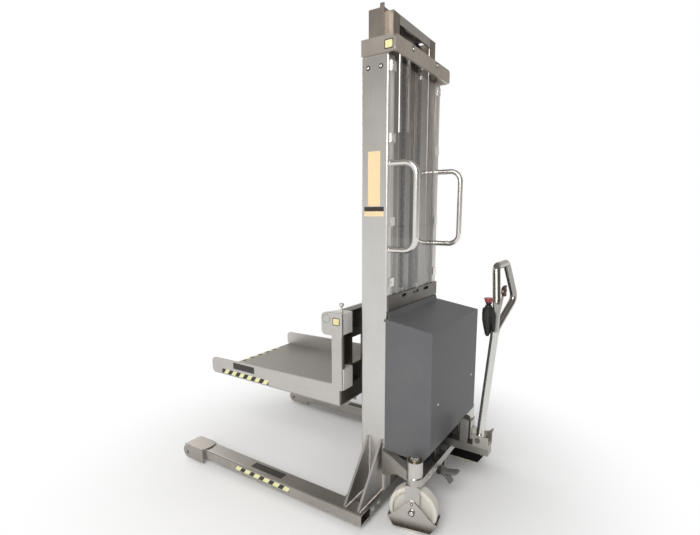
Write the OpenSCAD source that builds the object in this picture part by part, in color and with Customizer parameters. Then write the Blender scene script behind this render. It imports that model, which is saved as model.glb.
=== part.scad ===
// Semi-electric stacker: two-stage stainless mast on straddle legs, with a load platform.
// +X is the operator's right, +Y is the load side, +Z is up. Heights are from the floor, Z = 0.
// Inside the modules Y = 0 is the rear face of the outer mast. placed() then moves each
// sub-part so that the origin lies under the middle of the whole.
// The right-hand pieces are drawn on +X and mirrored for the left side.

/* [Legs and base] */
// Middle plane to the middle of a leg
leg_x = 419; // [400:1:520]
// Width of a leg tube
leg_w = 80; // [60:1:100]
// Height of a leg tube
leg_h = 50; // [40:1:60]
// Wall of a leg tube
leg_wall = 5; // [3:0.5:8]
// Outer corner radius of a leg tube
leg_corner = 7; // [3:0.5:10]
// Height of the underside of the legs
leg_z = 30; // [20:1:40]
// How far the legs reach ahead of the mast's rear face
leg_reach = 957; // [800:1:1200]
// How far the base stands out behind the mast
base_overhang = 3; // [0:1:10]
// Depth of the base beam from rear to front
base_depth = 130; // [125:1:180]
// Wall of the base beam
base_wall = 6; // [4:0.5:10]
// Thickness of a gusset between mast and leg
gusset_t = 10; // [6:1:14]
// Reach of a gusset from the mast's side
gusset_reach = 192; // [130:1:200]
// Height of a gusset above the base
gusset_h = 235; // [150:1:280]
// Middle of the rear gusset, ahead of the mast's rear face
gusset_rear_y = 17; // [10:1:40]
// Middle of the front gusset, ahead of the mast's rear face
gusset_front_y = 85; // [60:1:110]

/* [Load rollers] */
// Diameter of a load roller
load_roller_d = 78; // [60:1:90]
// Width of a load roller
load_roller_w = 72; // [50:1:80]
// Diameter of a load roller's axle
load_axle_d = 20; // [14:1:26]
// Leg's front end to the load axle
load_axle_reach = 120; // [112:1:150]
// Thickness of a roller housing's side plates
nose_t = 8; // [5:1:10]
// Outer face of the outer side plate off the middle plane
nose_outer_x = 475; // [470:1:520]
// Radius of a side plate's rounded tip
nose_tip_r = 34; // [28:1:40]
// Gap between the load roller and the cover over it
nose_gap = 4; // [3:1:8]
// Thickness of the cover over the load roller
nose_cover_t = 6; // [3:1:8]
// Radius of the cover's rear edge
nose_arc_r = 68; // [56:1:90]
// Distance from the load axle back to the centre of that edge
nose_arc_back = 62; // [50:1:90]

/* [Outer mast] */
// Width over both outer uprights
mast_w = 505; // [460:1:560]
// Depth of an outer upright
mast_d = 124; // [112:1:140]
// Height of the outer uprights' top
mast_top = 1888; // [1700:1:2200]
// Thickness of an upright's web
web_t = 6; // [5:0.5:10]
// Thickness of an upright's flanges
flange_t = 12; // [8:0.5:14]
// Width of an upright's flanges
flange_w = 47.5; // [40:0.5:55]
// Outer corner radius of an upright
mast_corner = 8; // [4:0.5:12]

/* [Mast collar] */
// Half width of the collar
collar_half_w = 268; // [262:1:290]
// Height of the collar
collar_h = 59; // [40:1:80]
// Thickness of the collar's plates
collar_t = 10; // [6:1:12]
// How far the collar stands out behind the mast
collar_rear = 37; // [25:1:50]
// Depth from the mast's rear face to the collar's front
collar_front = 114; // [90:1:124]
// Corner radius of the collar's rear plate
collar_corner = 14; // [6:1:20]

/* [Inner mast] */
// Clear space between the inner and the outer profile
mast_gap = 4; // [3:0.5:6]
// Width of the inner channel behind the flanges
inner_w = 56; // [48:1:60]
// Thickness of the inner channel
inner_t = 8; // [6:0.5:10]
// Rear face of the inner channel ahead of the mast's rear face
inner_rear = 10; // [8:1:14]
// Front face of the inner channel ahead of the mast's rear face
inner_front = 114; // [108:1:118]
// Depth of the outboard guide rail
rail_d = 67; // [50:1:74]
// Clear space between the guide rail and the outer web
rail_gap = 3.5; // [2:0.5:6]
// Wall of the guide rail
rail_t = 5; // [4:0.5:7]
// Height of the inner mast's foot at rest
inner_foot = 275; // [260:1:300]
// How far the inner mast's top stands above the outer mast's at rest
inner_over = 170; // [150:1:200]
// Height of the rail's lip over the inner mast's top
rail_lip = 15; // [0:1:20]
// Height of the cross bar at the inner mast's top
head_bar_h = 36; // [24:1:50]
// Width of the block that the lift rod pushes
head_block_w = 75; // [50:1:90]
// Depth of that block
head_block_d = 44; // [36:1:60]
// Height of that block
head_block_h = 63; // [50:1:75]
// Height of the tie at the inner mast's foot
foot_tie_h = 50; // [30:1:60]

/* [Mast rollers] */
// Running gap of a roller or a nylon pad in its channel
roller_gap = 0.3; // [0.2:0.05:0.5]
// Width of a mast roller
mast_roller_w = 30; // [20:1:32]
// Diameter of the rollers' stub axles
stub_d = 30; // [20:1:36]
// Running clearance of a bore on its pin
fit = 0.05; // [0.02:0.01:0.1]

/* [Lift cylinder and chains] */
// Diameter of the lift rod
rod_d = 48; // [36:1:50]
// Diameter of the cylinder barrel
barrel_d = 62; // [58:1:66]
// Bore of the cylinder barrel
barrel_bore = 54; // [52:1:56]
// Height of the cylinder's top
barrel_top = 1640; // [1500:1:1680]
// Length of the gland at the cylinder's top
gland_l = 30; // [20:1:50]
// Height of the rod's foot at rest
rod_foot = 330; // [300:1:900]
// Place of the chains off the middle plane
chain_x = 75; // [62:1:90]
// Pitch of the chains
chain_pitch = 19; // [12:1:25]
// Width of the chains
chain_w = 16; // [10:1:20]
// Height of a chain link's plates
chain_h = 13; // [9:1:15]
// Radius of a chain wheel at its groove
chain_wheel_r = 31; // [26:1:36]
// Thickness of a chain wheel
chain_wheel_w = 22; // [20:1:26]
// Diameter of the chain wheel pins
chain_pin_d = 25; // [16:1:30]
// Drop of the chain wheel pins below the inner mast's top
chain_pin_drop = 72; // [60:1:90]
// Height of the tie plate's underside
tie_z = 892; // [880:1:940]
// Height of the tie plate
tie_h = 62; // [45:1:80]
// Thickness of the tie plate
tie_t = 8; // [5:1:10]

/* [Guard and push handles] */
// Thickness of the clear guard
guard_t = 4; // [3:0.5:6]
// Half width of the clear guard
guard_half_w = 222; // [212:1:235]
// Height where the two guard sheets meet
guard_seam = 1236; // [1100:1:1400]
// Gap between the two guard sheets
guard_seam_gap = 2; // [1:0.5:4]
// Height of a guard clip
clip_h = 35; // [20:1:45]
// Diameter of a push handle's tube
grip_d = 25; // [20:1:32]
// Place of the push handles off the middle plane
grip_x = 238; // [228:1:240]
// Height of a push handle's lower arm
grip_low = 1146; // [1050:1:1200]
// Height of a push handle's upper arm
grip_high = 1486; // [1400:1:1600]
// Reach of a push handle behind the mast
grip_reach = 118; // [95:1:140]
// Bend radius of a push handle
grip_bend = 50; // [35:1:60]

/* [Cover] */
// Half width of the cover
cover_half_w = 275; // [270:1:290]
// Depth of the cover behind the mast
cover_d = 218; // [200:1:250]
// Wall of the cover
cover_t = 2; // [1.5:0.5:3]
// Height of the cover's lower edge
cover_low = 288; // [280:1:300]
// Height of the cover's rear top edge
cover_rear_top = 830; // [780:1:850]
// Height of the cover's front top edge
cover_front_top = 861; // [850:1:880]
// Height of the lip above the front top edge
cover_lip = 27; // [15:1:30]
// Depth of the sloping edge at the bottom of the cover's rear
cover_slope_d = 30; // [15:1:40]
// Height of that sloping edge
cover_slope_h = 37; // [20:1:50]
// Bend radius of the cover's upright edges
cover_corner = 6; // [4:1:12]
// Height of the cover screws
cover_screw_z = 518; // [450:1:600]
// Place of the cover screws off the middle plane
cover_screw_x = 205; // [150:1:230]

/* [Battery and power pack] */
// Width of the battery
battery_w = 215; // [180:1:220]
// Depth of the battery
battery_d = 150; // [120:1:160]
// Height of the battery without its posts
battery_h = 205; // [160:1:240]
// Width of the oil tank
tank_w = 180; // [150:1:200]
// Depth of the oil tank
tank_d = 120; // [100:1:140]
// Height of the oil tank
tank_h = 142; // [110:1:160]
// Diameter of the pump motor
motor_d = 108; // [90:1:115]
// Length of the pump motor
motor_l = 150; // [120:1:170]

/* [Casters] */
// Gap between a stem housing and the plane of the cover's side
caster_gap = 7; // [5:1:20]
// Place of the swivel axes behind the mast
caster_back = 172; // [165:1:190]
// Diameter of a caster wheel
wheel_d = 200; // [180:1:200]
// Width of a caster wheel's tread
wheel_w = 50; // [40:1:50]
// Diameter of a caster axle
caster_axle_d = 20; // [14:1:24]
// Width of a fork leg
fork_w = 60; // [45:1:66]
// Thickness of a fork leg
fork_t = 8; // [6:0.5:9]
// Thickness of the fork's crown
crown_t = 8; // [6:1:9]
// Swivel angle of the left caster as photographed
left_swivel = 11; // [-30:1:30]
// Outer diameter of a stem housing
housing_d = 68; // [64:1:74]
// Bore of a stem housing
housing_bore = 56; // [52:1:58]
// Height of a stem housing's foot
housing_low = 212; // [211:1:220]
// Height of a stem housing's top
housing_high = 311; // [290:1:330]
// Diameter of a caster's stem
stem_d = 40; // [30:1:44]
// Height of the rear strap
strap_h = 32; // [24:1:40]
// Thickness of the rear strap
strap_t = 5; // [4:0.5:8]
// Thickness of a toe guard's plate
toe_t = 4; // [3:0.5:4]
// Height of a toe guard's lower edge
toe_low = 25; // [15:1:30]
// Height of a toe guard's skirt
toe_high = 66; // [60:1:68]
// Height of a toe guard's peak
toe_peak = 150; // [135:1:160]
// Half length of a toe guard at its lower edge
toe_half = 76; // [75:1:90]
// Half length of a toe guard at the skirt's top
toe_half_top = 103; // [102:1:112]

/* [Carriage] */
// Mast's rear face to the beams' rear face
beam_y = 187; // [180:1:200]
// Mast's rear face to the beams' front face
beam_front = 243; // [232:1:255]
// Underside of the top beam
top_beam_low = 772; // [740:1:790]
// Height of the lip under the top beam
top_lip = 33; // [10:1:40]
// Top of the top beam
top_beam_high = 865; // [840:1:880]
// Underside of the lower beam
low_beam_low = 519; // [512:1:530]
// Top of the lower beam
low_beam_high = 616; // [590:1:640]
// Thickness of the beams' plates
beam_t = 8; // [6:1:10]
// Inner face of the end blocks off the middle plane
block_x = 227; // [215:1:240]
// Recess of the beams' middle behind the end blocks
beam_recess = 13; // [8:1:20]
// Height of the lower carriage roller
low_roller_z = 565; // [560:1:600]
// Height of the upper carriage roller
high_roller_z = 812; // [790:1:830]
// Width of a carriage roller
carriage_roller_w = 36; // [24:1:38]
// Thickness of the roller plates
roller_plate_t = 15; // [10:1:18]
// Outer face of the roller plates off the middle plane
roller_plate_x = 139; // [132:1:141]
// Height of the chain bar on the carriage
chain_bar_h = 30; // [20:1:40]

/* [Platform] */
// Outer half width of the platform
platform_half_w = 308; // [300:1:330]
// Thickness of the side plates
side_t = 10; // [6:1:12]
// Height of the deck's top face
deck_z = 452; // [440:1:470]
// Thickness of the deck plate
deck_t = 6; // [4:1:8]
// Depth of the seat cut in the deck
deck_seat = 1; // [0.5:0.5:2]
// Mast's rear face to the platform's front
platform_front = 1046; // [900:1:1250]
// Setback of the deck's front
deck_back = 12; // [4:1:20]
// Height of the side plates at the posts, above the deck
side_h = 89; // [76:1:120]
// Height of the side plates above the deck, at the front
side_front_h = 76; // [56:1:76]
// Mast's rear face to the side plates' rear edge
side_rear = 190; // [188:1:200]
// Width of a side plate's post
post_w = 53; // [45:1:70]
// Width of a side plate's head
head_w = 107; // [95:1:140]
// Height of a head's underside
head_low = 764; // [740:1:770]
// Height of a head's top
head_high = 866; // [850:1:890]
// Corner radius of a head
head_corner = 22; // [10:1:30]
// Radius of a side plate's upper front corner
side_corner = 24; // [10:1:36]
// Radius of a side plate's lower front corner
side_foot_r = 14; // [6:1:18]
// Diameter of the shaft through the heads
shaft_d = 38; // [28:1:40]
// Width of the groove round the shaft's ends
shaft_groove = 2.5; // [1:0.5:4]
// Mast's rear face to that shaft
shaft_y = 270; // [262:1:280]
// Height of that shaft
shaft_z = 839; // [810:1:850]
// Depth of the apron beam under the lower beam
apron_d = 43; // [30:1:60]
// Diameter of a lock plunger's pin
plunger_d = 12; // [8:1:16]
// Place of a plunger off the middle plane
plunger_x = 284; // [270:1:288]
// Mast's rear face to a plunger
plunger_y = 205; // [202:1:215]

/* [Tiller] */
// Width of the tiller arm
arm_w = 48; // [40:1:60]
// Height of the tiller arm
arm_h = 37; // [30:1:45]
// Mast's rear face to the arm's rear end
arm_rear = 381; // [360:1:400]
// Length of the tiller bracket
bracket_l = 65; // [55:1:80]
// Outer width of the tiller bracket
bracket_w = 70; // [64:1:90]
// Thickness of the bracket's plates
bracket_t = 6; // [4:1:8]
// Height of the bracket's sides
bracket_h = 50; // [44:1:60]
// Diameter of the tiller's pivot pin
pivot_d = 16; // [12:1:20]
// Place of the pivot behind the mast
pivot_back = 336; // [332:1:350]
// Height of the pivot
pivot_z = 314; // [310:1:318]
// Diameter of the tiller tube
tiller_d = 34; // [28:1:36]
// Lean of the tiller away from upright
tiller_lean = 5; // [0:0.5:10]
// Height where the handle loop starts
loop_start = 806; // [780:1:830]
// Height of the loop's widest place
loop_wide_z = 930; // [910:1:950]
// Height of the loop's top bar
loop_top_z = 1085; // [1060:1:1120]
// Half width of the loop at its widest place
loop_wide_x = 136; // [115:1:150]
// Half width of the loop's top bar
loop_top_x = 74; // [60:1:90]
// Place of the loop's widest place behind the mast
loop_wide_back = 418; // [405:1:430]
// Place of the loop's top bar behind the mast
loop_top_back = 392; // [385:1:410]
// Diameter of the loop's tube
loop_d = 30; // [24:1:32]
// Bend radius of the loop at its widest place
loop_bend = 42; // [25:1:50]
// Bend radius of the loop at its top bar
loop_top_bend = 24; // [18:1:30]
// Half height of the collar where the loop meets the tube
collar_l = 14; // [12:1:18]
// Diameter of the tiller's hub
hub_d = 38; // [36:1:44]
// Diameter of the stalk that carries the thumb rocker
stalk_d = 10; // [7:1:12]
// Diameter of the thumb rocker's pin
rocker_pin_d = 8; // [5:1:10]
// Diameter of the switch housing
switch_d = 50; // [44:1:56]
// Place of the switch housing behind the mast
switch_back = 347; // [343:1:350]
// Height of the switch housing's foot
switch_low = 779; // [765:1:790]
// Height of the switch housing's top
switch_high = 903; // [890:1:905]
// Diameter of the stop button
stop_d = 40; // [30:1:40]
// Height of the stop button's cap
stop_h = 17; // [12:1:20]
// Travel of the stop button
stop_travel = 4; // [3:0.5:6]
// Height of the thumb rocker's pivot
rocker_z = 978; // [965:1:990]
// Place of the thumb rocker behind the mast
rocker_back = 407; // [403:1:412]
// Length of the thumb rocker
rocker_l = 44; // [30:1:50]
// Width of the thumb rocker
rocker_w = 26; // [20:1:34]

/* [Foot brake] */
// Place of the pedal's middle from the middle plane, on the left
pedal_x = 90; // [70:1:110]
// Place of the pedal's pivot behind the mast
pedal_back = 192; // [186:1:196]
// Height of the pedal's pivot
pedal_z = 160; // [150:1:165]
// Width of the pedal
pedal_w = 32; // [24:1:40]
// Diameter of the pedal's pivot pin
pedal_pin_d = 14; // [10:1:16]

/* [Hidden] */
$fn = 48;
// Overshoot of a cutting body past the face that it cuts
eps = 1;
steel = [0.78, 0.76, 0.73];
dark_steel = [0.42, 0.41, 0.39];
nylon = [0.9, 0.89, 0.84];
half_mast = mast_w / 2;
web_in = half_mast - web_t;
flange_in = half_mast - flange_w;
leg_top = leg_z + leg_h;
base_front = base_depth - base_overhang;
leg_in = leg_x - leg_w / 2;
leg_out = leg_x + leg_w / 2;
load_axle_y = leg_reach + load_axle_reach;
load_axle_z = load_roller_d / 2;
side_in = platform_half_w - side_t;
deck_front = platform_front - deck_back;
tip_rise = 5;
tip_z = load_axle_z + tip_rise;
channel_mid = (inner_rear + inner_front) / 2;
inner_top = mast_top + inner_over;
inner_out = flange_in - mast_gap;
inner_in = inner_out - inner_w;
rail_out = web_in - rail_gap;
rail_rear = channel_mid - rail_d / 2;
rail_front = channel_mid + rail_d / 2;
cavity_low = flange_t;
cavity_high = mast_d - flange_t;
mast_roller_d = cavity_high - cavity_low - 2 * roller_gap;
mast_roller_z = inner_foot + mast_roller_d / 2 + 10;
rail_foot = mast_roller_z + mast_roller_d / 2 + 12;
carriage_roller_d = inner_front - inner_rear - 2 * inner_t - 2 * roller_gap;
chain_pin_z = inner_top - chain_pin_drop;
chain_r = chain_wheel_r + chain_h / 2 + roller_gap;
shelf_t = 4;
shelf_low = cover_low - shelf_t;
arm_low = shelf_low - arm_h;
wheel_r = wheel_d / 2;
caster_x = cover_half_w + caster_gap + housing_d / 2;
hub_step = 0.7;
wheel_hub_half = wheel_w / 2 + hub_step;
fork_in = wheel_hub_half + roller_gap;
fork_out = fork_in + fork_t;
toe_out = fork_out + toe_t;
crown_high = housing_low - roller_gap;
tan_lean = tan(tiller_lean);
// How much slimmer a bend is than its runs, and its reach into them in degrees
bend_step = 0.1;
bend_lap = 1;
loop_neck = [0, -tiller_back(loop_start), loop_start];
loop_wide = [loop_wide_x, -loop_wide_back, loop_wide_z];
loop_top = [loop_top_x, -loop_top_back, loop_top_z];
// The bend at the loop's widest place is the rearmost point of the whole
bend_in = unit(loop_wide - loop_neck);
bend_out = unit(loop_top - loop_wide);
bend_inward = unit(bend_out - (bend_out * bend_in) * bend_in);
bend_centre = loop_wide + loop_bend * (bend_inward - bend_in * tan(acos(bend_in * bend_out) / 2));
bend_normal = unit(cross(bend_in, bend_out));
loop_rear = bend_centre[1] - loop_bend * sqrt(1 - pow(bend_normal[1], 2)) - (loop_d - bend_step) / 2;
nose_front = load_axle_y + load_roller_d / 2;
mid_y = (nose_front + loop_rear) / 2;
pad_z = mast_top - 68;
pad_h = 60;
screw_d = 8;
guard_screw_d = 6;
clip_z = [mast_top - 57, 1566, guard_seam + 5, 992];
anchor_d = 12;

module placed() {
  translate([0, -mid_y, 0]) children();
}

module left() {
  mirror([1, 0, 0]) children();
}

module both_sides() {
  children();
  mirror([1, 0, 0]) children();
}

// A block between two corners
module block(low, high) {
  translate(low) cube(high - low);
}

// A rectangle between two corners, with round corners
module rounded(low, high, r) {
  translate([low[0] + r, low[1]]) square([high[0] - low[0] - 2 * r, high[1] - low[1]]);
  translate([low[0], low[1] + r]) square([high[0] - low[0], high[1] - low[1] - 2 * r]);
  for (x = [low[0] + r, high[0] - r], y = [low[1] + r, high[1] - r]) {
    translate([x, y]) circle(r);
  }
}

// Extrusion along X of a profile drawn in Y and Z
module along_x(x0, x1) {
  translate([x0, 0, 0]) rotate([90, 0, 90]) linear_extrude(x1 - x0) children();
}

// Extrusion along Y of a profile drawn in X and Z
module along_y(y0, y1) {
  translate([0, y1, 0]) rotate([90, 0, 0]) linear_extrude(y1 - y0) children();
}

module up(z0, z1) {
  translate([0, 0, z0]) linear_extrude(z1 - z0) children();
}

// A round bar along X
module bar_x(x0, x1, y, z, d) {
  translate([x0, y, z]) rotate([0, 90, 0]) cylinder(d = d, h = x1 - x0);
}

// A round bar along Y
module bar_y(y0, y1, x, z, d) {
  translate([x, y0, z]) rotate([-90, 0, 0]) cylinder(d = d, h = y1 - y0);
}

// A bolt head or nut with six sides, its axis along Y
module hex_y(y0, y1, x, z, across) {
  translate([x, y0, z]) rotate([-90, 0, 0]) cylinder(d = across / cos(30), h = y1 - y0, $fn = 6);
}

function unit(v) = v / norm(v);
// Angle between the two runs that meet at a point of a bent tube
function bend_angle(a, b, c) = acos(unit(b - a) * unit(c - b));
// Length that a bend takes from each run at a point
function bend_run(p, i, r) =
  i == 0 || i == len(p) - 1 ? 0 : r[i] * tan(bend_angle(p[i - 1], p[i], p[i + 1]) / 2);

// A straight round bar between two points
module rod_between(a, b, d) {
  v = b - a;
  tilt = acos(v[2] / norm(v));
  turn = atan2(v[1], v[0]);
  translate(a) rotate([0, tilt, turn]) cylinder(d = d, h = norm(v));
}

// A tube or bar bent through points p, with a bend radius r for each point
module bent_tube(p, r, d) {
  for (i = [0 : len(p) - 2]) {
    dir = unit(p[i + 1] - p[i]);
    rod_between(p[i] + dir * bend_run(p, i, r), p[i + 1] - dir * bend_run(p, i + 1, r), d);
  }
  for (i = [1 : len(p) - 2]) {
    dir_in = unit(p[i] - p[i - 1]);
    dir_out = unit(p[i + 1] - p[i]);
    inward = unit(dir_out - (dir_out * dir_in) * dir_in);
    start = p[i] - dir_in * bend_run(p, i, r);
    centre = start + inward * r[i];
    axis = cross(-inward, dir_in);
    multmatrix([[-inward[0], dir_in[0], axis[0], centre[0]],
          [-inward[1], dir_in[1], axis[1], centre[1]],
          [-inward[2], dir_in[2], axis[2], centre[2]],
          [0, 0, 0, 1]])
      rotate([0, 0, -bend_lap])
        rotate_extrude(angle = bend_angle(p[i - 1], p[i], p[i + 1]) + 2 * bend_lap)
          translate([r[i], 0]) circle(d = d - bend_step);
  }
}

// Straddle legs and base

module leg() {
  color(steel) placed() along_y(-base_overhang, leg_reach) difference() {
    rounded([leg_in, leg_z], [leg_out, leg_top], leg_corner);
    rounded([leg_in + leg_wall, leg_z + leg_wall], [leg_out - leg_wall, leg_top - leg_wall],
      max(leg_corner - leg_wall, 1));
  }
}

module leg_left() {
  left() leg();
}

module leg_right() {
  leg();
}

// Box beam between the legs, closed on top
module base_beam() {
  color(dark_steel) placed() along_x(-leg_in, leg_in) difference() {
    rounded([-base_overhang, leg_z], [base_front, leg_top], 4);
    rounded([-base_overhang + base_wall, leg_z + base_wall],
      [base_front - base_wall, leg_top - base_wall], 2);
  }
}

// Side outline of a roller housing plate: straight behind, round at the tip
module nose_plate_outline(rear) {
  translate([rear, tip_z - nose_tip_r + 2])
    square([load_axle_y - rear, leg_top - tip_z + nose_tip_r - 2]);
  translate([load_axle_y, tip_z]) circle(nose_tip_r);
  translate([load_axle_y, tip_z]) square([nose_tip_r * sin(45), leg_top - tip_z - 8]);
}

// Side plates, a rear wall and a cover over the roller
module roller_housing() {
  cover_r = load_roller_d / 2 + nose_gap;
  outer_in = nose_outer_x - nose_t;
  color(steel) placed() difference() {
    union() {
      along_x(outer_in, nose_outer_x) nose_plate_outline(leg_reach);
      along_x(leg_in, leg_in + nose_t) nose_plate_outline(leg_reach);
      block([leg_in, leg_reach, leg_z], [nose_outer_x, leg_reach + nose_t, leg_top]);
      block([leg_in + nose_t, load_axle_y, 2 * load_axle_z + nose_gap - 2],
        [outer_in, load_axle_y + 8, leg_top + nose_cover_t]);
      // Cover plate with its round rear edge
      up(leg_top, leg_top + nose_cover_t) intersection() {
        translate([leg_in, 0]) square([nose_outer_x - leg_in, load_axle_y + 8]);
        union() {
          translate([(leg_in + nose_outer_x) / 2, load_axle_y - nose_arc_back])
            circle(nose_arc_r);
          translate([leg_in, load_axle_y - nose_arc_back])
            square([nose_outer_x - leg_in, nose_arc_back + 8]);
        }
      }
      // Cover bent down round the front of the roller
      along_x(leg_in + nose_t, outer_in) intersection() {
        translate([load_axle_y, load_axle_z]) difference() {
          circle(cover_r + nose_cover_t - 2);
          circle(cover_r);
        }
        translate([load_axle_y + 7, load_axle_z + 30]) square([26, 30]);
      }
    }
    bar_x(leg_in - eps, nose_outer_x + eps, load_axle_y, load_axle_z, load_axle_d + 2 * fit);
  }
}

module roller_housing_left() {
  left() roller_housing();
}

module roller_housing_right() {
  roller_housing();
}

module load_rollers() {
  roller_x = (leg_in + nose_outer_x) / 2;
  color(nylon) placed() both_sides() translate([roller_x, load_axle_y, load_axle_z])
    rotate([0, 90, 0]) rotate_extrude() difference() {
      union() {
        translate([0, -load_roller_w / 2 + 3]) square([load_roller_d / 2, load_roller_w - 6]);
        translate([0, -load_roller_w / 2]) square([load_roller_d / 2 - 3, load_roller_w]);
        translate([load_axle_d / 2, -(nose_outer_x - leg_in) / 2 + nose_t + roller_gap])
          square([6, nose_outer_x - leg_in - 2 * nose_t - 2 * roller_gap]);
      }
      translate([-eps, -nose_outer_x]) square([load_axle_d / 2 + fit + eps, 2 * nose_outer_x]);
    }
}

module leg_gussets() {
  toe_h = 10;
  color(steel) placed() both_sides() for (y = [gusset_rear_y, gusset_front_y]) {
    along_y(y - gusset_t / 2, y + gusset_t / 2) polygon([
      [half_mast, leg_top], [half_mast + gusset_reach, leg_top],
      [half_mast + gusset_reach, leg_top + toe_h],
      [half_mast + toe_h, leg_top + gusset_h], [half_mast, leg_top + gusset_h]]);
  }
}

// Outer mast

module outer_upright() {
  color(steel) placed() difference() {
    up(leg_top, mast_top) difference() {
      union() {
        rounded([flange_in, 0], [half_mast, mast_d], mast_corner);
        translate([flange_in, 0]) square([flange_w / 2, mast_d]);
      }
      rounded([flange_in - mast_corner, cavity_low], [web_in, cavity_high], 3);
    }
    for (y = [rail_rear + 6, rail_front - 4]) {
      bar_x(web_in - eps, half_mast + eps, y, pad_z + 27, screw_d + 2 * fit);
    }
  }
}

module outer_upright_left() {
  left() outer_upright();
}

module outer_upright_right() {
  outer_upright();
}

// U-shaped collar on the uprights' tops, open to the front
module mast_collar() {
  collar_top = mast_top + collar_h;
  color(steel) placed() difference() {
    union() {
      along_y(-collar_rear, -collar_rear + collar_t)
        rounded([-collar_half_w, mast_top], [collar_half_w, collar_top], collar_corner);
      both_sides() block([collar_half_w - collar_t, -collar_rear + collar_t, mast_top],
        [collar_half_w, collar_front, collar_top]);
      both_sides() block([web_in, 0, mast_top],
        [collar_half_w - collar_t, collar_front, mast_top + collar_t]);
    }
    both_sides() bar_y(-collar_rear - eps, -collar_rear + collar_t + eps, 118,
      mast_top + collar_h * 0.75, screw_d + 2 * fit);
  }
}

// Nylon guides round three sides of each guide rail
module wear_pads() {
  color(nylon) placed() both_sides() difference() {
    block([flange_in + 4, cavity_low, pad_z], [web_in, cavity_high, pad_z + pad_h]);
    block([flange_in - eps, rail_rear - roller_gap, pad_z - eps],
      [rail_out + roller_gap, rail_front + roller_gap, pad_z + pad_h + eps]);
    for (y = [cavity_low, cavity_high]) {
      translate([web_in, y, pad_z - eps]) cylinder(r = 3, h = pad_h + 2 * eps);
    }
    for (y = [rail_rear + 6, rail_front - 4]) {
      bar_x(web_in - 2.5, web_in + eps, y, pad_z + 27, screw_d + 2 * fit);
    }
  }
}

// Caster mounting

// Side outline of a caster arm: the lower edge rises towards the housing
module arm_side() {
  foot = housing_low - 34;
  polygon([[0, shelf_low], [0, foot], [-20, foot + 2], [-42, foot + 12],
    [-caster_back * 0.38, foot + 30], [-caster_back * 0.55, housing_low + 10],
    [-caster_back, housing_low + 14], [-caster_back, housing_low + 50],
    [-caster_back * 0.35, shelf_low]]);
}

module caster_arm() {
  color(steel) placed() difference() {
    union() {
      intersection() {
        along_x(flange_in, caster_x + housing_d) arm_side();
        up(housing_low - 60, housing_high) difference() {
          polygon([[half_mast - 30, 0], [half_mast + 30, 0],
            [caster_x + housing_d / 2 - 4, -caster_back + 10],
            [caster_x - housing_d / 2 + 2, -caster_back + 10]]);
          polygon([[half_mast - 22, -8], [half_mast + 22, -8],
            [caster_x + housing_d / 2 - 13, -caster_back + 10],
            [caster_x - housing_d / 2 + 11, -caster_back + 10]]);
        }
      }
      intersection() {
        along_x(flange_in, caster_x + housing_d) difference() {
          arm_side();
          translate([0, -8]) arm_side();
        }
        up(housing_low, housing_high) polygon([[half_mast - 30, 0], [half_mast + 30, 0],
          [caster_x + housing_d / 2 - 4, -caster_back + 10],
          [caster_x - housing_d / 2 + 2, -caster_back + 10]]);
      }
      translate([caster_x, -caster_back, housing_low])
        cylinder(d = housing_d, h = housing_high - housing_low);
    }
    translate([caster_x, -caster_back, housing_low - eps])
      cylinder(d = housing_bore, h = housing_high - housing_low + 2 * eps);
  }
}

module caster_arm_left() {
  left() caster_arm();
}

module caster_arm_right() {
  caster_arm();
}

// A plain bush in each end of each housing
module stem_bushes() {
  bush_l = 30;
  color([0.72, 0.6, 0.35]) placed() both_sides() translate([caster_x, -caster_back, 0]) {
    for (z = [housing_low, housing_high - bush_l]) {
      translate([0, 0, z]) difference() {
        cylinder(d = housing_bore, h = bush_l);
        translate([0, 0, -eps]) cylinder(d = stem_d + 2 * fit, h = bush_l + 2 * eps);
      }
    }
  }
}

// Flat bar round both stem housings, with lugs for the pedal pin
module rear_strap() {
  ring_r = housing_d / 2 + strap_t;
  strap_rear = -caster_back - ring_r;
  lug_gap = pedal_w / 2 + roller_gap;
  color(steel) placed() {
    difference() {
      union() {
        both_sides() translate([caster_x, -caster_back, housing_low])
          cylinder(r = ring_r, h = strap_h);
        block([-caster_x, strap_rear, housing_low],
          [caster_x, strap_rear + strap_t, housing_low + strap_h]);
      }
      both_sides() translate([caster_x, -caster_back, housing_low - eps])
        cylinder(d = housing_d, h = strap_h + 2 * eps);
      both_sides() block([caster_x - housing_d, -caster_back, housing_low - eps],
        [caster_x + housing_d, -caster_back + housing_d, housing_low + strap_h + eps]);
    }
    for (x = [-pedal_x - lug_gap - 5, -pedal_x + lug_gap]) {
      difference() {
        along_x(x, x + 5) union() {
          translate([-pedal_back, pedal_z]) circle(13);
          polygon([[-pedal_back + 13, pedal_z], [-pedal_back - 13, pedal_z],
            [strap_rear + strap_t, housing_low],
            [strap_rear + strap_t, housing_low + strap_h],
            [-pedal_back + 13, housing_low + strap_h]]);
        }
        bar_x(x - eps, x + 5 + eps, -pedal_back, pedal_z, pedal_pin_d + 2 * fit);
      }
    }
  }
}

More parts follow.
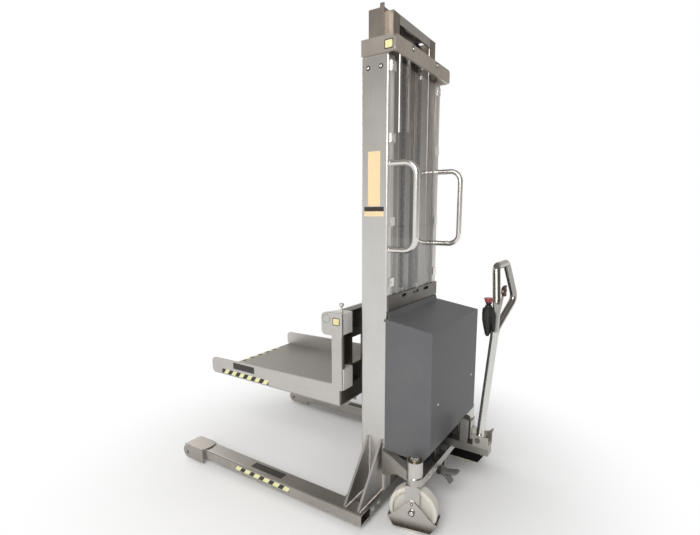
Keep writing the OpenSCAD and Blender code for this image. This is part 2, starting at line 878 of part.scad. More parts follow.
// Shelf under the cover on a cross tube, with two posts for the cover's screws
module chassis_shelf() {
  tube = 40;
  post = 12;
  color(dark_steel) placed() {
    block([-cover_half_w, -cover_d + cover_slope_d, shelf_low], [cover_half_w, -1, cover_low]);
    along_x(30 - half_mast, half_mast - 30) difference() {
      translate([-tube, shelf_low - tube]) square([tube, tube]);
      translate([-tube + 4, shelf_low - tube + 4]) square([tube - 8, tube - 8]);
    }
    both_sides() {
      difference() {
        block([cover_screw_x - post / 2, -cover_d + cover_t, cover_low + cover_slope_h + 12],
          [cover_screw_x + post / 2, -cover_d + cover_t + 4, cover_screw_z + 20]);
        bar_y(-cover_d, -cover_d + post, cover_screw_x, cover_screw_z,
          guard_screw_d + 2 * fit);
      }
      along_x(cover_screw_x - post / 2, cover_screw_x + post / 2) polygon([
        [-cover_d + cover_t, cover_low + cover_slope_h + 12],
        [-cover_d + cover_t + 4, cover_low + cover_slope_h + 12],
        [-cover_d + cover_slope_d + 14, cover_low + 4],
        [-cover_d + cover_slope_d + 14, cover_low],
        [-cover_d + cover_slope_d + 8, cover_low]]);
      // Drop bar that holds the strap
      block([140, -cover_d + cover_slope_d, housing_low + strap_h - 20],
        [150, -cover_d + cover_slope_d + 6, shelf_low]);
      block([140, -caster_back - housing_d / 2, housing_low + strap_h - 20],
        [150, -cover_d + cover_slope_d, housing_low + strap_h - 12]);
    }
  }
}

// Tiller arm, bracket and pins

module tiller_arm() {
  wall = 4;
  lug_y = -270;
  lug_r = 18;
  lug_h = 92;
  lug_t = 8;
  color(steel) placed() {
    along_y(-arm_rear, -40) difference() {
      translate([-arm_w / 2, arm_low]) square([arm_w, arm_h]);
      translate([-arm_w / 2 + wall, arm_low + wall]) square([arm_w - 2 * wall, arm_h - 2 * wall]);
    }
    block([-arm_w / 2, -arm_rear, arm_low], [arm_w / 2, -arm_rear + wall, shelf_low]);
    // Round-topped lugs on the arm, behind the cover
    for (x = [-arm_w / 2 + 2, arm_w / 2 - 2 - lug_t]) {
      along_x(x, x + lug_t) union() {
        translate([lug_y - lug_r, shelf_low]) square([2 * lug_r, lug_h]);
        translate([lug_y, shelf_low + lug_h]) circle(lug_r);
      }
    }
    bar_x(-arm_w / 2 + lug_t, arm_w / 2 - lug_t, lug_y, shelf_low + lug_h - 8, 12);
  }
}

// U bracket of the tiller, with a stop horn on its right side
module tiller_bracket() {
  front = -arm_rear + bracket_l;
  base = shelf_low;
  color(steel) placed() difference() {
    union() {
      block([-bracket_w / 2, -arm_rear, base], [bracket_w / 2, front, base + 5]);
      for (x = [-bracket_w / 2, bracket_w / 2 - bracket_t]) {
        along_x(x, x + bracket_t) polygon([[-arm_rear, base], [front, base],
          [front, base + bracket_h - 6], [front - 5, base + bracket_h],
          [-arm_rear, base + bracket_h + 2]]);
      }
      along_x(bracket_w / 2 - bracket_t, bracket_w / 2) polygon([
        [-arm_rear + 30, base + bracket_h], [-arm_rear, base + bracket_h],
        [-arm_rear - 6, base + bracket_h + 18], [-arm_rear, base + bracket_h + 22],
        [-arm_rear + 10, base + bracket_h + 8]]);
    }
    bar_x(-bracket_w, bracket_w, -pivot_back, pivot_z, pivot_d + 2 * fit);
  }
}

// A round pin along X with a flat head and a collar
module headed_pin(x0, x1, y, z, d, head) {
  bar_x(x0, x1, y, z, d);
  bar_x(x0 - head, x0, y, z, d + 8);
  bar_x(x1, x1 + head, y, z, d + 6);
}

module pivot_pins() {
  head = 3;
  lug_gap = pedal_w / 2 + roller_gap;
  color(dark_steel) placed() {
    headed_pin(-bracket_w / 2, bracket_w / 2, -pivot_back, pivot_z, pivot_d, head);
    headed_pin(-pedal_x - lug_gap - 5, -pedal_x + lug_gap + 5, -pedal_back, pedal_z,
      pedal_pin_d, head);
    both_sides() bar_x(leg_in, nose_outer_x, load_axle_y, load_axle_z, load_axle_d);
  }
}

// Lift gear on the chassis

// Slotted tie plate with a shelf that holds the chain ends
module tie_plate() {
  slot_h = 14;
  shelf_y = channel_mid - chain_r + chain_h;
  color(dark_steel) placed() difference() {
    union() {
      block([-half_mast + 4, -tie_t, tie_z], [half_mast - 4, 0, tie_z + tie_h]);
      both_sides() block([chain_x - 20, 0, tie_z + 14], [chain_x + 20, shelf_y, tie_z + 24]);
    }
    for (x = [-150, -20, 90]) {
      along_y(-tie_t - eps, eps) rounded([x, tie_z + tie_h - slot_h - 8],
        [x + 60, tie_z + tie_h - 8], slot_h / 2 - 0.5);
    }
    both_sides() translate([chain_x, channel_mid - chain_r, tie_z])
      cylinder(d = anchor_d + 2 * fit, h = tie_h);
  }
}

module cylinder_barrel() {
  base_t = 20;
  color(dark_steel) placed() translate([0, channel_mid, 0]) difference() {
    union() {
      translate([0, 0, leg_top]) cylinder(d = barrel_d, h = barrel_top - leg_top - gland_l);
      translate([0, 0, barrel_top - gland_l]) cylinder(d = barrel_d - 3, h = gland_l);
    }
    translate([0, 0, leg_top + base_t])
      cylinder(d = barrel_bore, h = barrel_top - leg_top - base_t - gland_l);
    translate([0, 0, barrel_top - gland_l - eps])
      cylinder(d = rod_d + 2 * fit, h = gland_l + 2 * eps);
  }
}

// Guard, clips and handles

module guard_panels() {
  low = tie_z + tie_h + 3;
  color([0.8, 0.85, 0.88, 0.35]) placed() {
    block([-guard_half_w, -guard_t, low], [guard_half_w, 0, guard_seam - guard_seam_gap / 2]);
    block([-guard_half_w, -guard_t, guard_seam + guard_seam_gap / 2],
      [guard_half_w, 0, mast_top - 8]);
  }
}

// Clips on the rear flanges, and an angle from the collar
module guard_clips() {
  clip_t = 3;
  mid_x = 28;
  color(steel) placed() both_sides() for (z = clip_z) {
    block([guard_half_w - 18, -guard_t - clip_t, z], [guard_half_w, -guard_t, z + clip_h]);
    block([guard_half_w, -guard_t - clip_t, z], [guard_half_w + 14, 0, z + clip_h]);
  }
  color(steel) placed() {
    block([mid_x - 9, -guard_t - clip_t, mast_top - 31], [mid_x + 9, -guard_t, mast_top + 13]);
    block([mid_x - 9, -collar_rear + collar_t, mast_top + 13 - clip_t],
      [mid_x + 9, -guard_t - clip_t, mast_top + 13]);
  }
}

module push_handles() {
  flange_plate_t = 5;
  inside = -flange_plate_t / 2;
  path = [[grip_x, inside, grip_low], [grip_x, -grip_reach, grip_low],
    [grip_x, -grip_reach, grip_high], [grip_x, inside, grip_high]];
  color(steel) placed() both_sides() {
    bent_tube(path, [0, grip_bend, grip_bend, 0], grip_d);
    for (z = [grip_low, grip_high]) {
      bar_y(-flange_plate_t, 0, grip_x, z, grip_d + 3);
    }
  }
}

// Cover and what it hides

// Side outline of the cover, drawn in by t
module cover_outline(t, bottom) {
  polygon([[-0.5 + t * 10, bottom], [-cover_d + cover_slope_d + t * 0.5 , bottom],
    [-cover_d + cover_slope_d + t * 0.5, cover_low - t * 2],
    [-cover_d + t, cover_low + cover_slope_h + t * 0.4], [-cover_d + t, cover_rear_top - t],
    [-12 + t, cover_front_top - t], [-0.5 + t * 10, cover_front_top - t]]);
}

// Folded sheet cover, open below and towards the mast, with a sloping lip
module cover() {
  color([0.37, 0.38, 0.39]) placed() difference() {
    union() {
      intersection() {
        along_x(-cover_half_w, cover_half_w) cover_outline(0, cover_low);
        up(cover_low - 10, cover_front_top + 10)
          rounded([-cover_half_w, -cover_d], [cover_half_w, 40], cover_corner);
      }
      along_x(-half_mast, half_mast) polygon([[-12, cover_front_top - 1],
        [-4, cover_front_top + cover_lip], [-2, cover_front_top + cover_lip],
        [-8, cover_front_top - 1]]);
    }
    intersection() {
      along_x(-cover_half_w + cover_t, cover_half_w - cover_t)
        cover_outline(cover_t, cover_low - 20);
      up(cover_low - 30, cover_front_top + 10)
        rounded([-cover_half_w + cover_t, -cover_d + cover_t], [cover_half_w - cover_t, 40],
          cover_corner - cover_t);
    }
    block([-cover_half_w - eps, -8, cover_low - eps],
      [cover_half_w + eps, 1, cover_front_top - 10]);
    both_sides() bar_y(-cover_d - eps, -cover_d + 5, cover_screw_x, cover_screw_z,
      guard_screw_d + 2 * fit);
  }
}

module battery() {
  lid_h = 22;
  cap_step = battery_w / 7;
  corner = [15 - battery_w - 35, -15 - battery_d, cover_low];
  top = corner + [0, 0, battery_h];
  color([0.12, 0.12, 0.13]) placed() {
    block(corner, corner + [battery_w, battery_d, battery_h - lid_h]);
    block(corner + [4, 4, battery_h - lid_h], top + [battery_w - 4, battery_d - 4, 0]);
    for (x = [30, battery_w - 30]) {
      translate(top + [x, 30, 0]) cylinder(d = 18, h = 14);
    }
    for (i = [1 : 6]) {
      translate(top + [i * cap_step, battery_d / 2 + 20, 0]) cylinder(d = 20, h = 6);
    }
  }
}

// Oil tank with the pump block and the motor on top
module power_pack() {
  block_h = 60;
  tank_top = cover_low + tank_h;
  middle = [30 + tank_w / 2, -35 - tank_d / 2];
  color([0.2, 0.21, 0.22]) placed() {
    block([middle[0] - tank_w / 2, middle[1] - tank_d / 2, cover_low],
      [middle[0] + tank_w / 2, middle[1] + tank_d / 2, tank_top]);
    translate([middle[0] - 35, middle[1] - 40, tank_top]) cube([70, 80, block_h]);
    translate([middle[0], middle[1], tank_top + block_h]) {
      cylinder(d = motor_d, h = motor_l);
      translate([0, 0, motor_l]) cylinder(d = motor_d - 18, h = 12);
    }
    translate([middle[0] + 65, middle[1] + 35, tank_top]) cylinder(d = 32, h = 16);
  }
}

// Screws and bolts, their shanks in the holes of what they hold
module fasteners() {
  head = 4;
  ring_r = housing_d / 2 + strap_t;
  strap_rear = -caster_back - ring_r;
  nut_y = channel_mid - chain_r;
  color([0.8, 0.79, 0.77]) placed() {
    both_sides() for (y = [rail_rear + 6, rail_front - 4]) {
      bar_x(web_in - 2.4, half_mast, y, pad_z + 27, screw_d);
      bar_x(half_mast, half_mast + head, y, pad_z + 27, screw_d + 7);
    }
    both_sides() {
      bar_y(-collar_rear, -collar_rear + collar_t, 118, mast_top + collar_h * 0.75, screw_d);
      bar_y(-collar_rear - head, -collar_rear, 118, mast_top + collar_h * 0.75, screw_d + 8);
    }
    both_sides() {
      bar_y(-cover_d, -cover_d + 6, cover_screw_x, cover_screw_z, guard_screw_d);
      bar_y(-cover_d - 2, -cover_d, cover_screw_x, cover_screw_z, guard_screw_d + 5);
    }
    both_sides() for (x = [314, 364]) {
      hex_y(-base_overhang - 6, -base_overhang, x, leg_z + 30, 13);
    }
    for (x = [-256, -193, 193, 256]) {
      hex_y(strap_rear - 5, strap_rear, x, housing_low + 10, 13);
    }
    both_sides() for (z = clip_z) {
      bar_y(-guard_t - 5, -guard_t - 3, guard_half_w + 7, z + clip_h / 2, 8);
    }
    both_sides() translate([chain_x, nut_y, 0]) {
      translate([0, 0, tie_z - 6]) cylinder(d = anchor_d, h = tie_h);
      translate([0, 0, tie_z]) cylinder(d = 22, h = 14, $fn = 6);
      translate([-chain_w / 2, -7, tie_z + tie_h - 8]) cube([chain_w, 14, 20]);
    }
  }
}

// Inner mast

// Channel open to the inside, with a box rail on its back
module inner_section() {
  difference() {
    union() {
      rounded([inner_in, inner_rear], [inner_out, inner_front], 7);
      translate([inner_in + inner_w / 2, inner_rear])
        square([inner_w / 2, inner_front - inner_rear]);
    }
    rounded([inner_in - 12, inner_rear + inner_t], [inner_out - inner_t, inner_front - inner_t], 3);
  }
}

module rail_section() {
  difference() {
    translate([inner_out - 2, rail_rear]) square([rail_out - inner_out + 2, rail_d]);
    translate([inner_out, rail_rear + rail_t])
      square([rail_out - rail_t - inner_out, rail_d - 2 * rail_t]);
  }
}

module inner_upright() {
  color(steel) placed() {
    up(inner_foot, inner_top) inner_section();
    up(rail_foot, inner_top) rail_section();
    block([rail_out - rail_t, rail_rear, inner_top], [rail_out, rail_rear + 17, inner_top + rail_lip]);
    // Stub axle for the mast roller
    bar_x(inner_out - 1, rail_out, channel_mid, mast_roller_z, stub_d);
    bar_x(inner_out - 1, inner_out + 3.4, channel_mid, mast_roller_z, stub_d + 10);
  }
}

module inner_upright_left() {
  left() inner_upright();
}

module inner_upright_right() {
  inner_upright();
}

module mast_rollers() {
  x0 = inner_out + 3.4 + roller_gap;
  color([0.3, 0.3, 0.31]) placed() both_sides() translate([x0, channel_mid, mast_roller_z])
    rotate([0, 90, 0]) rotate_extrude() difference() {
      union() {
        translate([0, 2]) square([mast_roller_d / 2, mast_roller_w - 4]);
        square([mast_roller_d / 2 - 2, mast_roller_w]);
      }
      translate([-eps, -eps]) square([stub_d / 2 + fit + eps, mast_roller_w + 2 * eps]);
      translate([stub_d / 2 + 12, mast_roller_w - 4]) square([12, 5]);
    }
}

// Cross bar, top plate, lift rod's block and the chain wheels' ears
module mast_head() {
  ear_t = 8;
  ear_r = 20;
  ear_in = chain_wheel_w / 2 + roller_gap;
  plate_low = inner_top - 10;
  color(steel) placed() difference() {
    union() {
      block([-inner_in, inner_rear, inner_top - head_bar_h], [inner_in, inner_rear + 10, inner_top]);
      block([-inner_in, inner_rear + 10, plate_low], [inner_in, inner_front - inner_t, inner_top]);
      block([-head_block_w / 2 - 5, channel_mid - head_block_d / 2, plate_low - head_block_h],
        [head_block_w / 2 - 5, channel_mid + head_block_d / 2, plate_low]);
      both_sides() for (x = [chain_x - ear_in - ear_t, chain_x + ear_in]) {
        along_x(x, x + ear_t) union() {
          translate([channel_mid, chain_pin_z]) circle(ear_r);
          translate([channel_mid - ear_r, chain_pin_z])
            square([2 * ear_r, plate_low - chain_pin_z]);
        }
      }
    }
    both_sides() bar_x(chain_x - ear_in - ear_t - eps, chain_x + ear_in + ear_t + eps,
      channel_mid, chain_pin_z, chain_pin_d + 2 * fit);
  }
}

module foot_tie() {
  color(dark_steel) placed() block([-inner_in, inner_front - inner_t, inner_foot],
    [inner_in, inner_front, inner_foot + foot_tie_h]);
}

module lift_rod() {
  piston_l = 40;
  color([0.85, 0.85, 0.86]) placed() translate([0, channel_mid, 0]) {
    translate([0, 0, rod_foot]) cylinder(d = rod_d, h = inner_top - 10 - head_block_h - rod_foot);
    translate([0, 0, rod_foot]) cylinder(d = barrel_bore - 2 * fit, h = piston_l);
  }
}

module chain_wheel_pins() {
  ear_out = chain_wheel_w / 2 + roller_gap + 8;
  color(dark_steel) placed() both_sides() {
    bar_x(chain_x - ear_out, chain_x + ear_out, channel_mid, chain_pin_z, chain_pin_d);
    bar_x(chain_x + ear_out, chain_x + ear_out + 3, channel_mid, chain_pin_z, chain_pin_d + 6);
  }
}

// Grooved wheels that the leaf chains run over
module chain_wheels() {
  rim = 7;
  groove = chain_w + 1;
  color([0.25, 0.25, 0.26]) placed() both_sides() translate([chain_x, channel_mid, chain_pin_z])
    rotate([0, 90, 0]) rotate_extrude() difference() {
      translate([0, -chain_wheel_w / 2]) square([chain_wheel_r + rim, chain_wheel_w]);
      translate([chain_wheel_r, -groove / 2]) square([rim + eps, groove]);
      translate([-eps, -chain_wheel_w]) square([chain_pin_d / 2 + fit + eps, 2 * chain_wheel_w]);
    }
}

// Side view of a run of leaf chain, a row of round-ended links
module chain_run(length) {
  links = floor(length / chain_pitch);
  for (i = [0 : links - 1]) {
    translate([0, chain_pitch * (i + 0.5)]) circle(d = chain_h);
  }
  translate([-chain_h * 0.36, 0]) square([chain_h * 0.72, length]);
}

// Half turn of chain over each chain wheel
module chain_tops() {
  steps = 7;
  color([0.3, 0.29, 0.27]) placed() both_sides() along_x(chain_x - chain_w / 2, chain_x + chain_w / 2)
    translate([channel_mid, chain_pin_z]) {
      intersection() {
        difference() {
          circle(chain_r + chain_h * 0.36);
          circle(chain_r - chain_h * 0.36);
        }
        translate([-2 * chain_r, 0]) square([4 * chain_r, 2 * chain_r]);
      }
      for (i = [0 : steps - 1]) {
        rotate(180 * (i + 0.5) / steps) translate([chain_r, 0]) circle(d = chain_h);
      }
    }
}

module rear_chains() {
  low = tie_z + tie_h + 12;
  color([0.3, 0.29, 0.27]) placed() both_sides() along_x(chain_x - chain_w / 2, chain_x + chain_w / 2)
    translate([channel_mid - chain_r, low]) chain_run(chain_pin_z - low);
}

module front_chains() {
  low = low_roller_z + chain_bar_h / 2;
  color([0.3, 0.29, 0.27]) placed() both_sides() along_x(chain_x - chain_w / 2, chain_x + chain_w / 2)
    translate([channel_mid + chain_r, low]) chain_run(chain_pin_z - low);
}

// Carriage

// Channel beam open to the rear, with end blocks
module channel_beam(low, high) {
  along_x(-block_x, block_x) difference() {
    translate([beam_y + beam_recess, low]) square([beam_front - beam_y - beam_recess, high - low]);
    translate([beam_y, low + beam_t])
      square([beam_front - beam_y - beam_t, high - low - 2 * beam_t]);
  }
  both_sides() difference() {
    block([block_x, beam_y, low], [side_in, beam_front, high]);
    block([block_x + beam_t, beam_y + beam_t, low + beam_t],
      [side_in - beam_t, beam_front - beam_t, high - 45]);
  }
}

module carriage_beams() {
  apron_low = deck_z - deck_seat;
  color(steel) placed() difference() {
    union() {
      channel_beam(low_beam_low, low_beam_high);
      channel_beam(top_beam_low, top_beam_high);
      along_x(-block_x, block_x) translate([beam_y + beam_recess, top_beam_low - top_lip])
        square([beam_t, top_lip + beam_t]);
      // Channel posts, open to the rear
      both_sides() up(low_beam_high, top_beam_low) difference() {
        translate([block_x, beam_y]) square([side_in - block_x, beam_front - beam_y]);
        translate([block_x + beam_t, beam_y - eps])
          square([side_in - block_x - 2 * beam_t, beam_front - beam_y - beam_t]);
      }
      // Gusset between each head and the top beam
      both_sides() up(top_beam_high - 5, top_beam_high) polygon([
        [block_x, beam_front - eps], [side_in, beam_front - eps],
        [side_in, shaft_y + 12], [block_x + beam_t, beam_front + beam_t]]);
      // Apron beam in the deck's seat
      along_x(-side_in, side_in) difference() {
        translate([beam_y + beam_recess, apron_low]) square([apron_d, low_beam_low - apron_low]);
        translate([beam_y + beam_recess + 5, apron_low + 5])
          square([apron_d - 10, low_beam_low - apron_low - 10]);
      }
    }
    both_sides() translate([plunger_x, plunger_y, top_beam_high - 46])
      cylinder(d = plunger_d + 2 * roller_gap, h = 47);
    bar_x(-side_in, side_in, shaft_y, shaft_z, shaft_d + 2 * roller_gap);
  }
}

// Side outline of a roller plate, with an ear for each roller
module roller_plate_outline() {
  ear_r = 34;
  for (z = [low_roller_z, high_roller_z]) {
    translate([channel_mid, z]) circle(ear_r);
    translate([channel_mid, z - ear_r]) square([beam_y + beam_recess - channel_mid, 2 * ear_r]);
  }
  translate([136, low_roller_z]) square([beam_y + beam_recess - 136, high_roller_z - low_roller_z]);
  translate([beam_y, low_beam_low + beam_t])
    square([beam_front - beam_t - beam_y, low_beam_high - low_beam_low - 2 * beam_t]);
  translate([beam_y, top_beam_low + beam_t])
    square([beam_front - beam_t - beam_y, top_beam_high - top_beam_low - 2 * beam_t]);
}

// Roller plates, stub axles and the front chains' bar
module roller_frame() {
  plate_in = roller_plate_x - roller_plate_t;
  roller_in = inner_out - inner_t - 6 - carriage_roller_w;
  bar_y0 = channel_mid + chain_r - 6;
  color(dark_steel) placed() {
    both_sides() {
      along_x(plate_in, roller_plate_x) roller_plate_outline();
      for (z = [low_roller_z, high_roller_z]) {
        bar_x(roller_plate_x, roller_in + carriage_roller_w, channel_mid, z, stub_d);
        bar_x(roller_plate_x, roller_in - roller_gap, channel_mid, z, stub_d + 10);
      }
    }
    block([-plate_in, bar_y0, low_roller_z - chain_bar_h / 2],
      [plate_in, bar_y0 + 13, low_roller_z + chain_bar_h / 2]);
  }
}

module carriage_rollers(z) {
  roller_in = inner_out - inner_t - 6 - carriage_roller_w;
  color([0.3, 0.3, 0.31]) placed() both_sides() translate([roller_in, channel_mid, z])
    rotate([0, 90, 0]) rotate_extrude() difference() {
      union() {
        translate([0, 2]) square([carriage_roller_d / 2, carriage_roller_w - 4]);
        square([carriage_roller_d / 2 - 2, carriage_roller_w]);
      }
      translate([-eps, -eps]) square([stub_d / 2 + fit + eps, carriage_roller_w + 2 * eps]);
    }
}

module upper_rollers() {
  carriage_rollers(high_roller_z);
}

module lower_rollers() {
  carriage_rollers(low_roller_z);
}

// Platform

module platform_deck() {
  rib_h = 14;
  color([0.6, 0.59, 0.57]) placed() difference() {
    union() {
      block([-platform_half_w, beam_y + beam_recess, deck_z - deck_t],
        [platform_half_w, deck_front, deck_z]);
      for (x = [-180, 0, 180]) {
        along_x(x - 4, x + 4) polygon([[beam_y + beam_recess, deck_z - deck_t],
          [beam_y + beam_recess, deck_z - deck_t - rib_h], [beam_front, deck_z - deck_t - rib_h],
          [platform_front - 200, deck_z - deck_t]]);
      }
    }
    both_sides() block([side_in, side_rear, deck_z - deck_seat],
      [platform_half_w + 1, deck_front + 1, deck_z + 1]);
    block([-side_in - eps, side_rear, deck_z - deck_seat], [side_in + eps,
      beam_y + beam_recess + apron_d, deck_z + 1]);
  }
}

// Outline of a side plate: low fence, post and hook head
module side_plate_outline() {
  foot = deck_z - deck_seat;
  fence_top = deck_z + side_h;
  front_top = deck_z + side_front_h;
  post_front = side_rear + post_w;
  difference() {
    union() {
      polygon([[side_rear + beam_recess, foot], [platform_front - side_foot_r, foot],
        [platform_front, foot + side_foot_r], [platform_front, front_top - side_corner],
        [platform_front - side_corner, front_top], [post_front, fence_top],
        [side_rear, fence_top], [side_rear, low_beam_low],
        [side_rear + beam_recess, low_beam_low]]);
      translate([platform_front - side_foot_r, foot + side_foot_r]) circle(side_foot_r);
      translate([platform_front - side_corner, front_top - side_corner]) circle(side_corner);
      translate([side_rear, low_beam_low])
        square([post_w, head_high - low_beam_low - head_corner]);
      rounded([side_rear - 3, head_low], [side_rear + head_w, head_high], head_corner);
      translate([side_rear - 3, head_low]) square([post_w, head_high - head_low]);
      translate([post_front, fence_top - 1]) square([12, 13]);
    }
    translate([post_front + 12, fence_top + 12]) circle(12);
  }
}

module side_plate() {
  color(steel) placed() difference() {
    along_x(side_in, platform_half_w) side_plate_outline();
    bar_x(side_in - eps, platform_half_w + eps, shaft_y, shaft_z, shaft_d + 2 * fit);
    bar_x(platform_half_w - 2, platform_half_w + eps, shaft_y, shaft_z,
      shaft_d + 2 * shaft_groove);
  }
}

module side_plate_left() {
  left() side_plate();
}

module side_plate_right() {
  side_plate();
}

// Cross shaft through the heads
module platform_shaft() {
  color([0.7, 0.69, 0.67]) placed()
    bar_x(-platform_half_w - 1, platform_half_w + 1, shaft_y, shaft_z, shaft_d);
}

// Pull knob and locking pin, turned in one
module lock_plunger() {
  seat = top_beam_high + roller_gap;
  color(steel) placed() translate([plunger_x, plunger_y, 0]) rotate_extrude() polygon([
    [0, top_beam_high - 28], [plunger_d / 2, top_beam_high - 26], [plunger_d / 2, seat],
    [plunger_d / 2 + 4, seat], [plunger_d / 2 + 4, seat + 5], [5, seat + 9], [4, seat + 24],
    [10, seat + 33], [11, seat + 37], [10, seat + 42], [6, seat + 44], [0, seat + 44]]);
}

module lock_plunger_left() {
  left() lock_plunger();
}

module lock_plunger_right() {
  lock_plunger();
}

// Casters

// Places a caster piece drawn at the origin on its swivel axis
module on_caster(side, swivel) {
  translate([side * caster_x, -caster_back, 0]) rotate([0, 0, swivel]) children();
}

// Fork with its stem, and the axle bolt through its legs
module caster_fork() {
  stem_top = housing_high + 6;
  difference() {
    union() {
      for (x = [-fork_out, fork_in]) {
        block([x, -fork_w / 2, wheel_r], [x + fork_t, fork_w / 2, crown_high]);
        translate([x, 0, wheel_r]) rotate([0, 90, 0]) cylinder(d = fork_w, h = fork_t);
      }
      translate([0, 0, crown_high - crown_t]) intersection() {
        translate([-fork_out, -fork_w / 2, 0]) cube([2 * fork_out, fork_w, crown_t]);
        cylinder(r = norm([fork_out, fork_w / 2]) - 5, h = crown_t);
      }
      translate([0, 0, crown_high - 1]) cylinder(d = stem_d, h = stem_top - crown_high + 1);
    }
    bar_x(-fork_out - eps, fork_out + eps, 0, wheel_r, caster_axle_d + 2 * fit);
  }
  bar_x(-toe_out, toe_out, 0, wheel_r, caster_axle_d);
  bar_x(-toe_out - 5, -toe_out, 0, wheel_r, caster_axle_d + 8);
  bar_x(toe_out, toe_out + 5, 0, wheel_r, caster_axle_d + 8);
  // Nut on top of the stem
  translate([0, 0, stem_top]) cylinder(d = 34, h = 8, $fn = 6);
}

module caster_fork_left() {
  color(steel) placed() on_caster(-1, left_swivel) caster_fork();
}

module caster_fork_right() {
  color(steel) placed() on_caster(1, 0) caster_fork();
}

// Skirt round the wheel with a pointed plate up each fork leg
module toe_guard() {
  side = toe_out - fork_out;
  difference() {
    union() {
      for (x = [-toe_out, fork_out]) {
        along_x(x, x + side) polygon([
          [-toe_half, toe_low], [toe_half, toe_low], [toe_half_top, toe_high],
          [toe_half_top - 12, toe_high + 4], [8, toe_peak], [-8, toe_peak],
          [-toe_half_top + 12, toe_high + 4], [-toe_half_top, toe_high]]);
      }
      for (end = [0, 1]) {
        mirror([0, end, 0]) along_x(-toe_out, toe_out) polygon([
          [toe_half - toe_t, toe_low], [toe_half, toe_low], [toe_half_top, toe_high],
          [toe_half_top - toe_t, toe_high]]);
      }
    }
    bar_x(-toe_out - eps, toe_out + eps, 0, wheel_r, caster_axle_d + 2 * fit);
  }
  for (x = [-toe_out - 3, toe_out]) {
    bar_x(x, x + 3, 0, toe_peak - 12, 9);
  }
}

module toe_guard_left() {
  color(steel) placed() on_caster(-1, left_swivel) toe_guard();
}

module toe_guard_right() {
  color(steel) placed() on_caster(1, 0) toe_guard();
}

// Cast nylon wheel: full tread, a drawn-in web and a hub that runs on the axle
module caster_wheel() {
  rim = 16;
  web_half = 11;
  hub_r = 26;
  color(nylon) rotate([0, 90, 0]) rotate_extrude() difference() {
    union() {
      translate([0, -wheel_w / 2 + 6]) square([wheel_r, wheel_w - 12]);
      translate([0, -wheel_w / 2]) square([wheel_r - 6, wheel_w]);
      for (y = [-wheel_w / 2 + 6, wheel_w / 2 - 6]) {
        translate([wheel_r - 6, y]) circle(6);
      }
      translate([0, -wheel_hub_half]) square([hub_r, 2 * wheel_hub_half]);
    }
    for (y = [web_half, -web_half - wheel_w]) {
      translate([hub_r, y]) square([wheel_r - rim - hub_r, wheel_w]);
    }
    translate([-eps, -wheel_w]) square([caster_axle_d / 2 + fit + eps, 2 * wheel_w]);
  }
}

module caster_wheel_left() {
  placed() on_caster(-1, left_swivel) translate([0, 0, wheel_r]) caster_wheel();
}

module caster_wheel_right() {
  placed() on_caster(1, 0) translate([0, 0, wheel_r]) caster_wheel();
}

// Tiller

// Distance behind the mast of the tiller's centre line at a height
function tiller_back(z) = pivot_back + (z - pivot_z) * tan_lean;

// A point mirrored to the other side
function flip(p) = [-p[0], p[1], p[2]];

// Collar where the loop's ends meet the tube
module neck_collar(d) {
  low = loop_start - collar_l;
  high = loop_start + collar_l;
  rod_between([0, -tiller_back(low), low], [0, -tiller_back(high), high], d);
}

module tiller() {
  foot = [0, -tiller_back(pivot_z), pivot_z];
  stalk_top = [0, -rocker_back, rocker_z];
  color(steel) placed() difference() {
    union() {
      rod_between(foot, loop_neck, tiller_d);
      neck_collar(tiller_d + 4);
      bar_x(-bracket_w / 2 + bracket_t + roller_gap, bracket_w / 2 - bracket_t - roller_gap,
        -pivot_back, pivot_z, hub_d);
      bent_tube([loop_neck, loop_wide, loop_top, flip(loop_top), flip(loop_wide), loop_neck],
        [0, loop_bend, loop_top_bend, loop_top_bend, loop_bend, 0], loop_d);
      rod_between(loop_neck, stalk_top, stalk_d);
      bar_x(-rocker_w / 2 - 5, rocker_w / 2 + 5, -rocker_back, rocker_z, rocker_pin_d);
    }
    bar_x(-bracket_w, bracket_w, -pivot_back, pivot_z, pivot_d + 2 * fit);
  }
}

// Housing on the front of the neck, pointed below and round above
module switch_housing() {
  r = switch_d / 2;
  neck_r = 9;
  color([0.1, 0.1, 0.1]) placed() difference() {
    translate([0, -switch_back, 0]) rotate_extrude() polygon([
      [0, switch_low], [6, switch_low], [10, switch_low + 8], [18, switch_low + 40],
      [r - 1, switch_low + 70], [r, switch_low + 95], [r - 1, switch_high - 8],
      [r - 5, switch_high - 2], [neck_r + 6, switch_high], [neck_r + 3, switch_high + 10],
      [0, switch_high + 10]]);
    rod_between([0, -tiller_back(pivot_z), pivot_z],
      [0, -tiller_back(loop_start + 30), loop_start + 30], tiller_d + 2 * fit);
    neck_collar(tiller_d + 4 + 2 * fit);
    for (end = [loop_wide, flip(loop_wide)]) {
      rod_between(loop_neck, end, loop_d + 2 * fit);
    }
    translate([0, -switch_back, switch_high - 14]) cylinder(r = neck_r, h = 25);
  }
}

module stop_button() {
  r = stop_d / 2;
  neck_r = 9 - roller_gap;
  foot = switch_high - 14 + stop_travel + roller_gap;
  cap = switch_high + 10 + stop_travel + 8;
  color([0.75, 0.1, 0.1]) placed() translate([0, -switch_back, 0]) rotate_extrude() polygon([
    [0, foot], [neck_r, foot], [neck_r, cap], [r - 3, cap + 4], [r, cap + 9],
    [r - 1, cap + stop_h - 3], [r - 5, cap + stop_h], [0, cap + stop_h]]);
}

